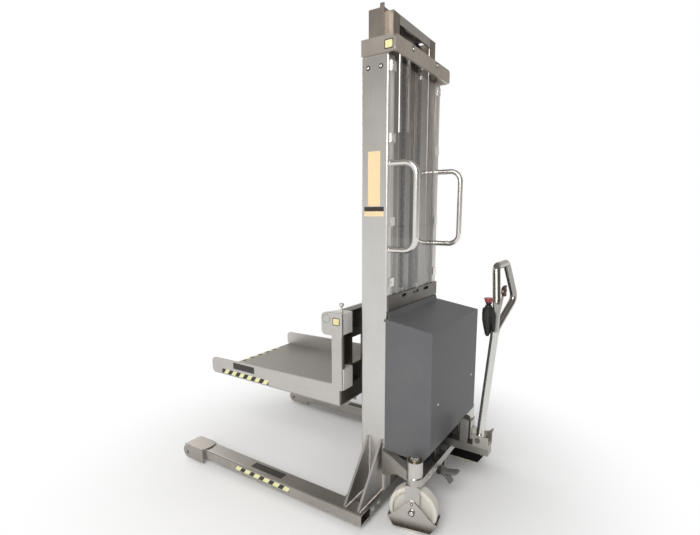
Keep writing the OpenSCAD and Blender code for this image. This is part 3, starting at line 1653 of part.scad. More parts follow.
// Rocker with a raised pad at each end, on the cross pin of the stalk
module thumb_rocker() {
  l = rocker_l / 2;
  color([0.14, 0.12, 0.11]) placed() difference() {
    along_x(-rocker_w / 2, rocker_w / 2) translate([-rocker_back, rocker_z]) polygon([
      [8, -l * 0.4], [8, l * 0.4], [4, l * 0.9], [-3, l], [-9, l * 0.95], [-7, l * 0.5],
      [-9, 0], [-7, -l * 0.5], [-9, -l * 0.95], [-3, -l], [4, -l * 0.9]]);
    bar_x(-rocker_w, rocker_w, -rocker_back, rocker_z, rocker_pin_d + 2 * fit);
    block([-8, -rocker_back - 6, rocker_z - rocker_l], [8, -rocker_back + 30, rocker_z + 7]);
  }
}

// Foot brake

// Pedal with an upper and a lower toe
module brake_pedal() {
  color([0.3, 0.3, 0.3]) placed() difference() {
    along_x(-pedal_x - pedal_w / 2, -pedal_x + pedal_w / 2) translate([-pedal_back, pedal_z]) {
      circle(14);
      polygon([[0, 12], [-30, 6], [-62, 12], [-80, 18], [-86, 12], [-78, 4], [-58, -2],
        [-34, -6], [-12, -10], [0, -12]]);
      polygon([[-8, -2], [-40, -14], [-50, -30], [-58, -42], [-50, -46], [-38, -32],
        [-24, -20], [-4, -12]]);
    }
    bar_x(-pedal_x - pedal_w, -pedal_x + pedal_w, -pedal_back, pedal_z, pedal_pin_d + 2 * fit);
  }
}

leg_left();
leg_right();
base_beam();
roller_housing_left();
roller_housing_right();
outer_upright_left();
outer_upright_right();
leg_gussets();
mast_collar();
wear_pads();
caster_arm_left();
caster_arm_right();
stem_bushes();
rear_strap();
chassis_shelf();
tiller_arm();
tiller_bracket();
pivot_pins();
tie_plate();
cylinder_barrel();
guard_panels();
guard_clips();
push_handles();
cover();
fasteners();
battery();
power_pack();
inner_upright_left();
inner_upright_right();
mast_head();
foot_tie();
lift_rod();
chain_wheel_pins();
chain_wheels();
mast_rollers();
chain_tops();
rear_chains();
front_chains();
carriage_beams();
roller_frame();
upper_rollers();
lower_rollers();
platform_deck();
side_plate_left();
side_plate_right();
platform_shaft();
lock_plunger_left();
lock_plunger_right();
caster_fork_left();
caster_fork_right();
toe_guard_left();
toe_guard_right();
caster_wheel_left();
caster_wheel_right();
load_rollers();
tiller();
switch_housing();
stop_button();
thumb_rocker();
brake_pedal();
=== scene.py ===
import math

import bmesh
import bpy
from mathutils import Euler, Matrix, Vector


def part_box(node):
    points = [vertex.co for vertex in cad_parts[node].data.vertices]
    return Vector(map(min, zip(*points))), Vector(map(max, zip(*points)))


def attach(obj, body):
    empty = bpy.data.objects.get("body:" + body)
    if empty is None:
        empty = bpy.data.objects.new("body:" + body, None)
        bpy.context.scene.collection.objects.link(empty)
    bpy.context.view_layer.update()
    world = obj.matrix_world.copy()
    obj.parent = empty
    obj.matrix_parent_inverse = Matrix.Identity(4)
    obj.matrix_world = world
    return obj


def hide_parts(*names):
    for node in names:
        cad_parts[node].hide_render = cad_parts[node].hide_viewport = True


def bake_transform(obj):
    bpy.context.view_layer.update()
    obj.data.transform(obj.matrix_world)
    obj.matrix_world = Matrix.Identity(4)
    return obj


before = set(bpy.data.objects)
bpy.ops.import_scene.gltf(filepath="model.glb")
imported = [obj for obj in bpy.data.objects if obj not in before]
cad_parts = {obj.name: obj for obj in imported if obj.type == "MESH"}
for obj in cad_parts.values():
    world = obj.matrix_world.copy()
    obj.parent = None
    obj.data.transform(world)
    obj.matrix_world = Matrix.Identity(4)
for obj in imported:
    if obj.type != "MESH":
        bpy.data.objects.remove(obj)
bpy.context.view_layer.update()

# The camera stands to the left of the mast and behind it, at chest height, and looks
# a little down. Its shift only centres the photograph's frame.
photo_width, focal_pixels, sensor_width = 700, 444.119, 36
centre_right, centre_down = -8.507, 21.19
camera_data = bpy.data.cameras.new("camera")
camera_data.sensor_width = sensor_width
camera_data.lens = focal_pixels / photo_width * sensor_width
camera_data.shift_x = centre_right / photo_width
camera_data.shift_y = centre_down / photo_width
camera_data.clip_end = 60
camera = bpy.data.objects.new("camera", camera_data)
bpy.context.scene.collection.objects.link(camera)
pitch_down, yaw, roll = 9.528, -57.293, -0.0795
look = Euler((math.radians(90 - pitch_down), 0, math.radians(yaw))).to_matrix().to_4x4()
lean = Matrix.Rotation(math.radians(roll), 4, "Z")
camera.matrix_world = Matrix.Translation((-1.82709, -1.21633, 1.28796)) @ look @ lean
bpy.context.scene.camera = camera
bpy.context.scene.view_settings.view_transform = "Standard"


# One small language for shader nodes. A Value is a socket that Python's operators work on,
# a Tree holds nodes, and a Finish is the material of one kind of surface of this machine.
class Value:
    def __init__(self, finish, socket):
        self.finish, self.socket = finish, socket

    def math(self, operation, a, b=0.0):
        return self.finish.node("ShaderNodeMath", {"operation": operation}, {0: a, 1: b})

    def __add__(self, other):
        return self.math("ADD", self, other)

    def __radd__(self, other):
        return self.math("ADD", other, self)

    def __sub__(self, other):
        return self.math("SUBTRACT", self, other)

    def __rsub__(self, other):
        return self.math("SUBTRACT", other, self)

    def __mul__(self, other):
        return self.math("MULTIPLY", self, other)

    def __rmul__(self, other):
        return self.math("MULTIPLY", other, self)

    def __truediv__(self, other):
        return self.math("DIVIDE", self, other)

    def __lt__(self, other):
        return self.math("LESS_THAN", self, other)

    def __gt__(self, other):
        return self.math("GREATER_THAN", self, other)

    def fraction(self):
        return self.math("FRACT", self)

    def size(self):
        return self.math("ABSOLUTE", self)


class Tree:
    def __init__(self, owner, place):
        owner.use_nodes = True
        self.tree = owner.node_tree
        self.place = self.node("ShaderNodeTexCoord", output=place)

    def join(self, socket, value):
        if isinstance(value, Value):
            self.tree.links.new(value.socket, socket)
        elif isinstance(value, tuple) and socket.type == "RGBA" and len(value) == 3:
            socket.default_value = (*value, 1)
        else:
            socket.default_value = value

    def node(self, kind, settings=None, inputs=None, output=0):
        made = self.tree.nodes.new(kind)
        for name, value in (settings or {}).items():
            if name == "stops":
                stops = made.color_ramp.elements
                while len(stops) < len(value):
                    stops.new(1)
                for stop, (position, shade) in zip(stops, value):
                    stop.position, stop.color = position, (shade, shade, shade, 1)
            else:
                setattr(made, name, value)
        for name, value in (inputs or {}).items():
            self.join(made.inputs[name], value)
        return Value(self, made.outputs[output])

    def axis(self, letter):
        return self.node("ShaderNodeSeparateXYZ", {}, {0: self.place}, letter)

    def facing_out(self, letter):
        """How far the surface itself faces along an axis, from -1 to 1."""
        outward = self.node("ShaderNodeTexCoord", output="Normal")
        return self.node("ShaderNodeSeparateXYZ", {}, {0: outward}, letter)

    def noise(self, scale, detail=3.0, roughness=0.5, stretch=(1, 1, 1), distortion=0.0):
        along = self.node("ShaderNodeMapping", {}, {"Vector": self.place, "Scale": stretch})
        return self.node("ShaderNodeTexNoise", {}, {"Vector": along, "Scale": scale,
            "Detail": detail, "Roughness": roughness, "Distortion": distortion})

    def ramp(self, value, *stops):
        return self.node("ShaderNodeValToRGB", {"stops": stops}, {0: value})

    def step(self, value, low, high, to_low=0.0, to_high=1.0):
        return self.node("ShaderNodeMapRange", {"interpolation_type": "SMOOTHSTEP"},
            {0: value, 1: low, 2: high, 3: to_low, 4: to_high})

    def mix(self, amount, a, b):
        return self.node("ShaderNodeMix", {"data_type": "RGBA"}, {0: amount, 6: a, 7: b}, 2)

    def shade(self, colour, value):
        return self.node("ShaderNodeMix", {"data_type": "RGBA", "blend_type": "MULTIPLY"},
            {0: 1.0, 6: colour, 7: value}, 2)

    def bump(self, height, distance, strength, normal=None):
        inputs = {"Height": height, "Distance": distance, "Strength": strength}
        if normal:
            inputs["Normal"] = normal
        return self.node("ShaderNodeBump", {}, inputs)


class Finish(Tree):
    def __init__(self, name, **constants):
        self.material = bpy.data.materials.new(name)
        super().__init__(self.material, "Object")
        self.shader = self.tree.nodes["Principled BSDF"]
        self.set(**constants)

    def set(self, **inputs):
        for name, value in inputs.items():
            self.join(self.shader.inputs[name.replace("_", " ")], value)


# The studio: a pale floor, a strong soft lamp to the machine's left, a weaker one ahead of it
# and a faint one behind. The camera sees white, and only reflections see the room's walls.
world = bpy.data.worlds.new("room")
bpy.context.scene.world = world
room = Tree(world, "Generated")
height = room.axis("Z")
camera_x, camera_y = 0.74, 0.67
ahead = room.step(room.axis("X") * camera_x + room.axis("Y") * camera_y, 0.0, 0.7)
walls = room.mix(ahead, (0.20, 0.175, 0.15), (0.66, 0.64, 0.61))
backdrop_top = room.step(height, -0.02, 0.26)
low_walls = room.mix(room.step(room.axis("Y"), -0.9, -0.1), (0.50, 0.48, 0.455),
    (0.98, 0.98, 0.97))
dimmed = room.mix(backdrop_top, low_walls, walls)
dimmed = room.mix(room.step(height, 0.35, 0.8), dimmed, (0.36, 0.35, 0.34))
seen = room.node("ShaderNodeLightPath", output="Is Camera Ray")
glossy = room.node("ShaderNodeLightPath", output="Is Glossy Ray")
behind = room.step(room.axis("Y"), -1.0, -0.1, 1.0, 0.0) * room.step(height, 0.9, 0.2)
soft = room.mix(behind, (0.47, 0.47, 0.475), (0.16, 0.158, 0.155))
for_light = room.mix(glossy, soft, dimmed)
surround = room.mix(seen, for_light, (1.0, 1.0, 1.0))
background = world.node_tree.nodes["Background"]
room.join(background.inputs["Color"], surround)
background.inputs["Strength"].default_value = 1


def lamp(name, place, target, width, height, power, colour):
    data = bpy.data.lights.new(name, "AREA")
    data.shape = "RECTANGLE"
    data.size, data.size_y = width, height
    data.energy = power
    data.color = colour
    made = bpy.data.objects.new(name, data)
    bpy.context.scene.collection.objects.link(made)
    aim = (Vector(target) - Vector(place)).to_track_quat("-Z", "Y")
    made.matrix_world = Matrix.Translation(place) @ aim.to_matrix().to_4x4()


lamp("key_lamp", (-3.5, -1.3, 3.0), (0, 0, 0.7), 2.2, 2.2, 128, (1.0, 0.985, 0.965))
lamp("front_lamp", (0.8, 4.2, 2.6), (0, 0, 0.8), 2.0, 2.0, 45, (1.0, 0.99, 0.97))
lamp("rear_lamp", (2.4, -3.4, 3.2), (0, 0, 0.9), 2.0, 2.0, 6, (0.97, 0.98, 1.0))

floor_shape = bmesh.new()
bmesh.ops.create_grid(floor_shape, x_segments=1, y_segments=1, size=20)
floor_mesh = bpy.data.meshes.new("floor")
floor_shape.to_mesh(floor_mesh)
floor_shape.free()
floor = bpy.data.objects.new("floor", floor_mesh)
bpy.context.scene.collection.objects.link(floor)
paper = Finish("pale_floor", Roughness=0.9, Specular_IOR_Level=0.1)
paper.set(Base_Color=paper.mix(paper.noise(3, 2) * 0.5, (0.93, 0.93, 0.925), (0.9, 0.9, 0.9)))
distance = paper.node("ShaderNodeVectorMath", {"operation": "LENGTH"}, {0: paper.place}, "Value")
bright = paper.node("ShaderNodeEmission", {}, {"Color": (1, 1, 1), "Strength": 1.0})
far = paper.step(distance, 0.55, 1.6)
surface = Value(paper, paper.shader.outputs[0])
looked_at = paper.node("ShaderNodeLightPath", output="Is Camera Ray")
mirrored = paper.node("ShaderNodeLightPath", output="Is Glossy Ray")
blend = paper.node("ShaderNodeMixShader", {},
    {0: far * (looked_at + mirrored), 1: surface, 2: bright})
paper.join(paper.tree.nodes["Material Output"].inputs["Surface"], blend)
floor_mesh.materials.append(paper.material)


# Straddle legs and base: stainless box tube, mill-brushed along its length, welded to a
# beam across the back. The legs' outer sides carry striped tape and the tops a dark plate.
def stainless(name, tone, grain, rough=0.34, blotch=0.08, stain=0.25, low_dirt=0.0, local=None):
    """Brushed steel whose marks run along the grain's axis. A local function may change places."""
    along_marks, across_marks = 6.0, 900.0
    stain_tint, floor_grime = (0.74, 0.68, 0.60), (0.10, 0.085, 0.07)
    stretch = tuple(along_marks if letter == grain else across_marks for letter in "XYZ")
    steel = Finish(name, Metallic=1.0)
    marks = steel.noise(1.0, 2.0, 0.6, stretch)
    clouds = steel.noise(3.2, 4.0, 0.55)
    stains = steel.ramp(steel.noise(9.0, 5.0, 0.62, distortion=0.6), (0.52, 0.0), (0.78, 1.0))
    base = steel.mix(steel.step(clouds, 0.3, 0.7), tuple(c * (1 - blotch) for c in tone),
        tuple(min(c * (1 + blotch), 1) for c in tone))
    base = steel.mix(stains * stain, base, tuple(c * f for c, f in zip(tone, stain_tint)))
    base = steel.mix(steel.step(marks, 0.35, 0.65) * 0.16, base, tuple(c * 0.72 for c in tone))
    if low_dirt:
        grime = steel.step(steel.axis("Z"), 0.02, 0.16, 1.0, 0.0) * steel.noise(14, 4, 0.6)
        base = steel.mix(grime * low_dirt, base, floor_grime)
    rough = rough + (marks - 0.5) * 0.22 + (clouds - 0.5) * 0.12 + stains * 0.06
    if local:
        base, rough = local(steel, base, rough)
    steel.set(Base_Color=base, Roughness=rough, Normal=steel.bump(marks, 0.00006, 0.55,
        steel.bump(steel.noise(26.0, 2.0), 0.00035, 0.10)))
    return steel.material


def dress(finish, *names):
    """Puts a finish on nodes of the part as they come."""
    for name in names:
        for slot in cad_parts[name].material_slots:
            slot.material = finish


leg_steel = stainless("leg_stainless", (0.50, 0.475, 0.44), "Y", 0.36, low_dirt=0.35)
dress(leg_steel, "leg_left", "leg_right")
dress(stainless("base_steel", (0.36, 0.345, 0.32), "X", 0.42, low_dirt=0.4), "base_beam")


mast_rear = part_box("outer_upright_left")[0].y


def mast_point(x, y, z):
    """A point given in millimetres from the mast's rear face, as the part's source has it."""
    return Vector((x / 1000, mast_rear + y / 1000, z / 1000))


def piece(name, shape, finish, body, smooth=False):
    """Makes a shape a named piece of its own. It rides on the body, if one is given."""
    mesh = bpy.data.meshes.new(name)
    for face in shape.faces:
        face.smooth = smooth
    shape.to_mesh(mesh)
    shape.free()
    mesh.materials.append(finish)
    made = bpy.data.objects.new(name, mesh)
    bpy.context.scene.collection.objects.link(made)
    if body:
        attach(made, body)
    return made


def facing(x_way, y_way, origin):
    """The matrix that lays a flat plate's X and Y along two directions at a point."""
    side, up = Vector(x_way).normalized(), Vector(y_way).normalized()
    turn = Matrix((side, up, side.cross(up))).transposed().to_4x4()
    return Matrix.Translation(origin) @ turn


def plate(shape, matrix, width, height, thick, corner):
    """A thin plate with round corners. Its back lies on the plane of the matrix."""
    made = bmesh.new()
    bmesh.ops.create_grid(made, x_segments=1, y_segments=1, size=0.5)
    bmesh.ops.scale(made, vec=(width, height, 1), verts=made.verts)
    bmesh.ops.bevel(made, geom=made.verts[:], offset=corner, affect="VERTICES",
        segments=3, profile=0.5, material=-1)
    rim = bmesh.ops.extrude_face_region(made, geom=made.faces[:])
    lifted = [v for v in rim["geom"] if isinstance(v, bmesh.types.BMVert)]
    bmesh.ops.translate(made, vec=(0, 0, thick), verts=lifted)
    bmesh.ops.recalc_face_normals(made, faces=made.faces)
    join(shape, made, matrix)


def join(shape, made, matrix):
    """Adds one mesh to a shape, placed by a matrix, and frees it."""
    bmesh.ops.transform(made, matrix=matrix, verts=made.verts)
    held = bpy.data.meshes.new("held")
    made.to_mesh(held)
    made.free()
    shape.from_mesh(held)
    bpy.data.meshes.remove(held)


def tape(name, along, pitch, slant, offset=0.0, share=0.5):
    """Printed vinyl tape with slanting stripes: along is the axis that the tape follows."""
    tape_dark, tape_pale, tape_worn = (0.022, 0.020, 0.017), (0.82, 0.80, 0.44), (0.42, 0.40, 0.30)
    vinyl = Finish(name, Roughness=0.42, Specular_IOR_Level=0.45)
    run = vinyl.axis(along) + offset
    rise = vinyl.axis("Z" if along == "Y" else "Y")
    stripe = ((run + rise * slant) / pitch).fraction() < share
    worn = vinyl.step(vinyl.noise(160, 4, 0.7), 0.60, 0.74)
    paint = vinyl.mix(stripe, tape_pale, tape_dark)
    vinyl.set(Base_Color=vinyl.mix(worn * 0.35, paint, tape_worn),
        Normal=vinyl.bump(vinyl.noise(400, 2), 0.00005, 0.3))
    return vinyl.material


leg_x, leg_half, leg_top, leg_middle = 419, 40, 80, 58
for side, name, vinyl in ((-1, "leg_tape_left", "leg_tape"), (1, "leg_tape_right", "leg_tape_far")):
    leg_tape = bmesh.new()
    outside = mast_point(side * (leg_x + leg_half), 552, leg_middle)
    plate(leg_tape, facing((0, side, 0), (0, 0, 1), outside), 0.346, 0.022, 0.00025, 0.001)
    piece(name, leg_tape, tape(vinyl, "Y", 0.062, 0.75, 0.01, 0.45), "chassis")

dark_print = Finish("dark_print", Specular_IOR_Level=0.5)
scuff = dark_print.step(dark_print.noise(90, 5, 0.7), 0.55, 0.8)
dark_print.set(Base_Color=dark_print.mix(scuff * 0.4, (0.028, 0.025, 0.021), (0.20, 0.18, 0.14)),
    Roughness=0.4 + scuff * 0.2, Normal=dark_print.bump(dark_print.noise(500, 2), 0.00004, 0.3))
pale_print = Finish("pale_print", Specular_IOR_Level=0.45)
fade = pale_print.noise(30, 4, 0.6)
pale_print.set(Base_Color=pale_print.mix(pale_print.step(fade, 0.35, 0.75) * 0.6,
    (0.80, 0.62, 0.36), (0.70, 0.56, 0.36)), Roughness=0.38 + fade * 0.15,
    Normal=pale_print.bump(pale_print.noise(420, 2), 0.00004, 0.3))
yellow_print = Finish("yellow_print", Specular_IOR_Level=0.45)
fade = yellow_print.noise(40, 4, 0.6)
yellow_print.set(Base_Color=yellow_print.mix(fade, (0.80, 0.74, 0.38), (0.66, 0.60, 0.32)),
    Roughness=0.38 + fade * 0.15, Normal=yellow_print.bump(yellow_print.noise(420, 2), 0.00004, 0.3))
for side, name in ((-1, "leg_plate_left"), (1, "leg_plate_right")):
    leg_plate = bmesh.new()
    on_top = facing((0, side, 0), (-side, 0, 0), mast_point(side * leg_x, 545, leg_top))
    plate(leg_plate, on_top, 0.195, 0.040, 0.0003, 0.003)
    piece(name, leg_plate, dark_print.material, "chassis")

# Roller housings: folded and welded stainless boxes at the legs' tips, over a white nylon
# roller each. The nylon is turned on a lathe and scuffed grey by the floor.
nose_steel = stainless("nose_stainless", (0.46, 0.43, 0.40), "X", 0.40, 0.08, low_dirt=0.3)
dress(nose_steel, "roller_housing_left", "roller_housing_right")


def cast_nylon(name, tone, centre=(0, 0, 0), dirt=0.35):
    """White nylon with the fine rings of a lathe about an axle along X, scuffed and dirty."""
    scuffed = (0.42, 0.38, 0.32)
    nylon = Finish(name, Specular_IOR_Level=0.4, Subsurface_Weight=0.08, Subsurface_Scale=0.01)
    blur = nylon.noise(16, 4, 0.6)
    marks = nylon.step(nylon.noise(55, 6, 0.72, distortion=0.4), 0.55, 0.75)
    off = nylon.node("ShaderNodeMapping", {}, {"Vector": nylon.place,
        "Location": tuple(-c for c in centre)})
    flat = nylon.node("ShaderNodeVectorMath", {"operation": "MULTIPLY"}, {0: off, 1: (0, 1, 1)})
    radius = nylon.node("ShaderNodeVectorMath", {"operation": "LENGTH"}, {0: flat}, "Value")
    rings = (radius * 700).fraction()
    base = nylon.mix(blur * 0.5, tone, tuple(c * 0.90 for c in tone))
    base = nylon.mix(marks * dirt, base, scuffed)
    nylon.set(Base_Color=base, Roughness=0.42 + marks * 0.2 + blur * 0.08,
        Normal=nylon.bump(rings, 0.00003, 0.4, nylon.bump(blur, 0.0004, 0.15)))
    return nylon.material


load_axle = mast_point(0, 1077, 39)
dress(cast_nylon("load_roller_nylon", (0.74, 0.71, 0.64), load_axle, 0.5), "load_rollers")

# Gussets: two laser-cut plates on each side, between an upright and its leg, with rippled
# weld beads along both of their edges and round the upright's foot.
gusset_steel = stainless("gusset_stainless", (0.62, 0.605, 0.58), "Z", 0.38, stain=0.35)
dress(gusset_steel, "leg_gussets")
bead_steel = stainless("bead_stainless", (0.66, 0.63, 0.59), "X", 0.30, 0.12, 0.4)


def weld(shape, start, end, size):
    """A row of overlapping ripples from start to end, each a flattened drop of metal."""
    ripple_pitch = 0.0032
    count = max(int((end - start).length / ripple_pitch), 1)
    way = (end - start).to_track_quat("X", "Z").to_matrix().to_4x4()
    for i in range(count + 1):
        drop = bmesh.new()
        bmesh.ops.create_uvsphere(drop, u_segments=8, v_segments=5, radius=size)
        bmesh.ops.scale(drop, vec=(0.55, 1, 1), verts=drop.verts)
        wander = 0.12 * size * math.sin(i * 2.4)
        place = start.lerp(end, i / count)
        join(shape, drop, Matrix.Translation(place + Vector((0, 0, wander))) @ way)


upright_face, seam_x, seam_z = 252.5, 253.5, leg_top + 1
gusset_planes, gusset_half, gusset_start, gusset_end, gusset_high = (17, 85), 5.5, 256, 443, 312
foot_welds = bmesh.new()
for side in (-1, 1):
    for plane in gusset_planes:
        for y in (plane - gusset_half, plane + gusset_half):
            weld(foot_welds, mast_point(side * seam_x, y, leg_top + 2),
                mast_point(side * seam_x, y, gusset_high), 0.0030)
            weld(foot_welds, mast_point(side * gusset_start, y, seam_z),
                mast_point(side * gusset_end, y, seam_z), 0.0030)
    weld(foot_welds, mast_point(side * 253, 2, seam_z), mast_point(side * 253, 122, seam_z), 0.0035)
    weld(foot_welds, mast_point(side * 207, 124.5, seam_z), mast_point(side * 250, 124.5, seam_z),
        0.0035)
piece("foot_welds", foot_welds, bead_steel, "chassis", True)

# Outer uprights: heavy stainless channels, brushed from top to bottom, that hold the whole
# mast. Each carries a bare pale rating plate on its outer face, with a dark strip across it.
mast_steel = stainless("mast_stainless", (0.66, 0.645, 0.62), "Z", 0.37, 0.04, 0.12)
dress(mast_steel, "outer_upright_left", "outer_upright_right")
for side, name in ((-1, "left"), (1, "right")):
    rating, strip = bmesh.new(), bmesh.new()
    for shape, z, width, height, thick in ((rating, 1427, 0.056, 0.214, 0.0003),
            (rating, 1289, 0.092, 0.020, 0.0003), (strip, 1308, 0.092, 0.018, 0.00035)):
        plate(shape, facing((0, side, 0), (0, 0, 1), mast_point(side * upright_face, 63, z)),
            width, height, thick, 0.002)
    piece("rating_plate_" + name, rating, pale_print.material, "chassis")
    piece("rating_strip_" + name, strip, dark_print.material, "chassis")

# Mast collar: 10 mm plate bent to a U and welded over the uprights' tops, with white nylon
# pads that guide the inner mast. It and the carriage's head each carry a small yellow plate.
collar_steel = stainless("collar_stainless", (0.55, 0.51, 0.46), "X", 0.42, 0.07, 0.3)
dress(collar_steel, "mast_collar")
dress(cast_nylon("pad_nylon", (0.72, 0.70, 0.65)), "wear_pads")
for side, name in ((-1, "left"), (1, "right")):
    for part, (x, y, z), body in (("collar", (268, -7.5, 1914), "chassis"),
            ("head", (308, 218, 829), "carriage")):
        backing, face = bmesh.new(), bmesh.new()
        lie = facing((0, side, 0), (0, 0, 1), mast_point(side * x, y, z))
        plate(backing, lie, 0.038, 0.034, 0.0003, 0.005)
        plate(face, lie, 0.031, 0.027, 0.0004, 0.004)
        piece(part + "_plate_back_" + name, backing, dark_print.material, body)
        piece(part + "_plate_" + name, face, yellow_print.material, body)
collar_welds = bmesh.new()
for side in (-1, 1):
    weld(collar_welds, mast_point(side * seam_x, 3, 1887), mast_point(side * seam_x, 112, 1887),
        0.003)
    weld(collar_welds, mast_point(side * 258, -26.5, 1892), mast_point(side * 258, -26.5, 1942),
        0.0025)
piece("collar_welds", collar_welds, bead_steel, "chassis", True)


# Caster arms, rear strap and shelf: stainless plate and turned tube, welded up. The stem
# housings are buffed and the hidden shelf is left dull. Bronze bushes carry the stems.
def housing_polish(steel, base, rough):
    """The turned stem housings are buffed like a mirror, the plates are brushed."""
    housing_r, housing_low = 0.0345, 0.237
    from_stem = steel.node("ShaderNodeCombineXYZ", {}, {0: steel.axis("X").size() - stem_x / 1000,
        1: steel.axis("Y") - mast_point(0, stem_y, 0).y})
    off = steel.node("ShaderNodeVectorMath", {"operation": "LENGTH"}, {0: from_stem}, "Value")
    turned_part = (off < housing_r) * (steel.axis("Z") > housing_low)
    return steel.mix(turned_part, base, (0.60, 0.58, 0.55)), rough * (1 - turned_part * 0.72)


stem_x, stem_y, axle_z = 316, -172, 100
arm_steel = stainless("arm_stainless", (0.50, 0.485, 0.455), "Y", 0.34, 0.1, 0.35,
    local=housing_polish)
dress(arm_steel, "caster_arm_left", "caster_arm_right", "rear_strap")
dull_steel = stainless("dull_steel", (0.20, 0.19, 0.175), "X", 0.5, 0.1, 0.4, 0.3)
dress(dull_steel, "chassis_shelf")
bronze = Finish("bush_bronze", Metallic=1.0)
tarnish = bronze.noise(40, 4)
bronze.set(Base_Color=bronze.mix(tarnish, (0.30, 0.215, 0.10), (0.17, 0.12, 0.065)),
    Roughness=0.35 + tarnish * 0.2)
dress(bronze.material, "stem_bushes")

# Tray under the shelf: a near-black sheet, folded up at its edges and fixed below the shelf,
# put in as painted shade that fills the space under the cover between the casters.
shade_tray_black = Finish("shade_tray_finish", Specular_IOR_Level=0.3)
dust = shade_tray_black.noise(18, 4, 0.6)
shade_tray_black.set(Base_Color=shade_tray_black.mix(dust, (0.012, 0.012, 0.012), (0.030, 0.028, 0.026)),
    Roughness=0.45 + dust * 0.25, Normal=shade_tray_black.bump(shade_tray_black.noise(500, 2), 0.0001, 0.2))
tray_size, tray_middle = (0.484, 0.104, 0.106), mast_point(0, -116, 231)
tray = bmesh.new()
bmesh.ops.create_cube(tray, size=1)
bmesh.ops.scale(tray, vec=tray_size, verts=tray.verts)
low_edges = [e for e in tray.edges if all(v.co.z < 0 for v in e.verts)]
bmesh.ops.bevel(tray, geom=low_edges, offset=0.012, affect="EDGES", segments=3, profile=0.5,
    material=-1)
bmesh.ops.translate(tray, vec=tray_middle, verts=tray.verts)
piece("under_shade_tray", tray, shade_tray_black.material, "chassis")

# Tiller arm and bracket: a stainless box tube out of the chassis with two round-topped lugs,
# and on its end a folded U that holds the tiller's pin. Both are brushed.
bracket_steel = stainless("bracket_stainless", (0.50, 0.48, 0.44), "Y", 0.40, 0.08, 0.3)
dress(bracket_steel, "tiller_bracket")


def oily_top(steel, base, rough):
    """The arm's top is dark with oil, its other faces are brushed clean."""
    top = steel.facing_out("Z") > 0.7
    return steel.mix(top, base, (0.10, 0.095, 0.085)), rough + top * 0.1


dress(stainless("tiller_arm_steel", (0.36, 0.35, 0.325), "Y", 0.42, 0.1, 0.3,
    local=oily_top), "tiller_arm")
dress(dull_steel, "pivot_pins")

# Tie plate and lift cylinder: a dark slotted plate across the mast, above the cover, that
# anchors the chains, and the steel barrel that stands inside the mast.
tie_steel = stainless("tie_stainless", (0.17, 0.16, 0.145), "X", 0.40, 0.1, 0.35)
dress(tie_steel, "tie_plate")
dress(stainless("barrel_steel", (0.30, 0.29, 0.28), "Z", 0.35), "cylinder_barrel")

# Guard: two sheets of clear polycarbonate, one above the other, glossy enough to mirror the
# handles. Bent stainless clips hold them to the uprights.
sheet = Finish("clear_sheet", Metallic=1.0, Base_Color=(0.62, 0.63, 0.63), Roughness=0.035)
haze = sheet.step(sheet.noise(7, 4, 0.65, (1, 1, 0.12)), 0.35, 0.8)
mirrors = sheet.node("ShaderNodeFresnel", {}, {"IOR": 1.58})
inside = sheet.node("ShaderNodeNewGeometry", output="Backfacing")
sheet.set(Alpha=(mirrors * 1.3 + 0.02) * (1 - inside) + haze * 0.09)
dress(sheet.material, "guard_panels")
bright_steel = stainless("bright_stainless", (0.72, 0.71, 0.68), "Z", 0.26, 0.05, 0.1)
dress(bright_steel, "guard_clips")

# Push handles: one polished stainless round tube a side, bent twice and welded to the
# upright's rear face, with a turned ring round each end.
handle_steel = stainless("handle_stainless", (0.80, 0.78, 0.745), "Z", 0.21, 0.06, 0.12)
dress(handle_steel, "push_handles")

# Cover: folded sheet steel, powder coated in a fine dark grey, screwed on at the rear. The
# battery in its black case and the power pack stand under it on the shelf.
coat = Finish("grey_powder_coat", Specular_IOR_Level=0.5)
peel = coat.noise(900, 2, 0.5)
dust = coat.noise(4, 4, 0.6)
coat.set(Base_Color=coat.mix(coat.step(dust, 0.3, 0.75), (0.100, 0.103, 0.109),
    (0.122, 0.124, 0.129)), Roughness=0.46 + dust * 0.12, Normal=coat.bump(peel, 0.00010, 0.35))
dress(coat.material, "cover", "power_pack")
black = Finish("black_moulding", Specular_IOR_Level=0.45)
grainy = black.noise(1200, 2)
rubbed = black.noise(20, 4, 0.65)
black.set(Base_Color=black.mix(black.step(rubbed, 0.4, 0.8), (0.012, 0.012, 0.013),
    (0.035, 0.034, 0.033)), Roughness=0.42 + rubbed * 0.18, Normal=black.bump(grainy, 0.00012, 0.4))
dress(black.material, "battery")


# Screws and bolts: turned stainless button heads with a round recess, hexagon bolts with a
# washer, and the chain ends' threaded rods with their nuts and clevises.
def turned(shape, matrix, *profile, steps=20):
    """A turned solid: its profile of (radius, height) points is spun about the local Z axis."""
    made = bmesh.new()
    points = [made.verts.new((radius, 0, height)) for radius, height in profile]
    edges = [made.edges.new(pair) for pair in zip(points, points[1:])]
    bmesh.ops.spin(made, geom=points + edges, axis=(0, 0, 1), cent=(0, 0, 0),
        angle=2 * math.pi, steps=steps, use_merge=True)
    bmesh.ops.remove_doubles(made, verts=made.verts, dist=0.000002)
    bmesh.ops.recalc_face_normals(made, faces=made.faces)
    join(shape, made, matrix)


def hexagon(shape, matrix, across, low, high):
    """A six-sided bolt head or nut, from low to high along the local Z axis."""
    edge = 0.0006
    made = bmesh.new()
    radius = across / 2 / math.cos(math.pi / 6)
    bmesh.ops.create_cone(made, cap_ends=True, segments=6, radius1=radius, radius2=radius,
        depth=high - low)
    bmesh.ops.bevel(made, geom=made.edges[:], offset=edge, affect="EDGES", segments=2,
        profile=0.5, material=-1)
    bmesh.ops.translate(made, vec=(0, 0, (low + high) / 2), verts=made.verts)
    join(shape, made, matrix)


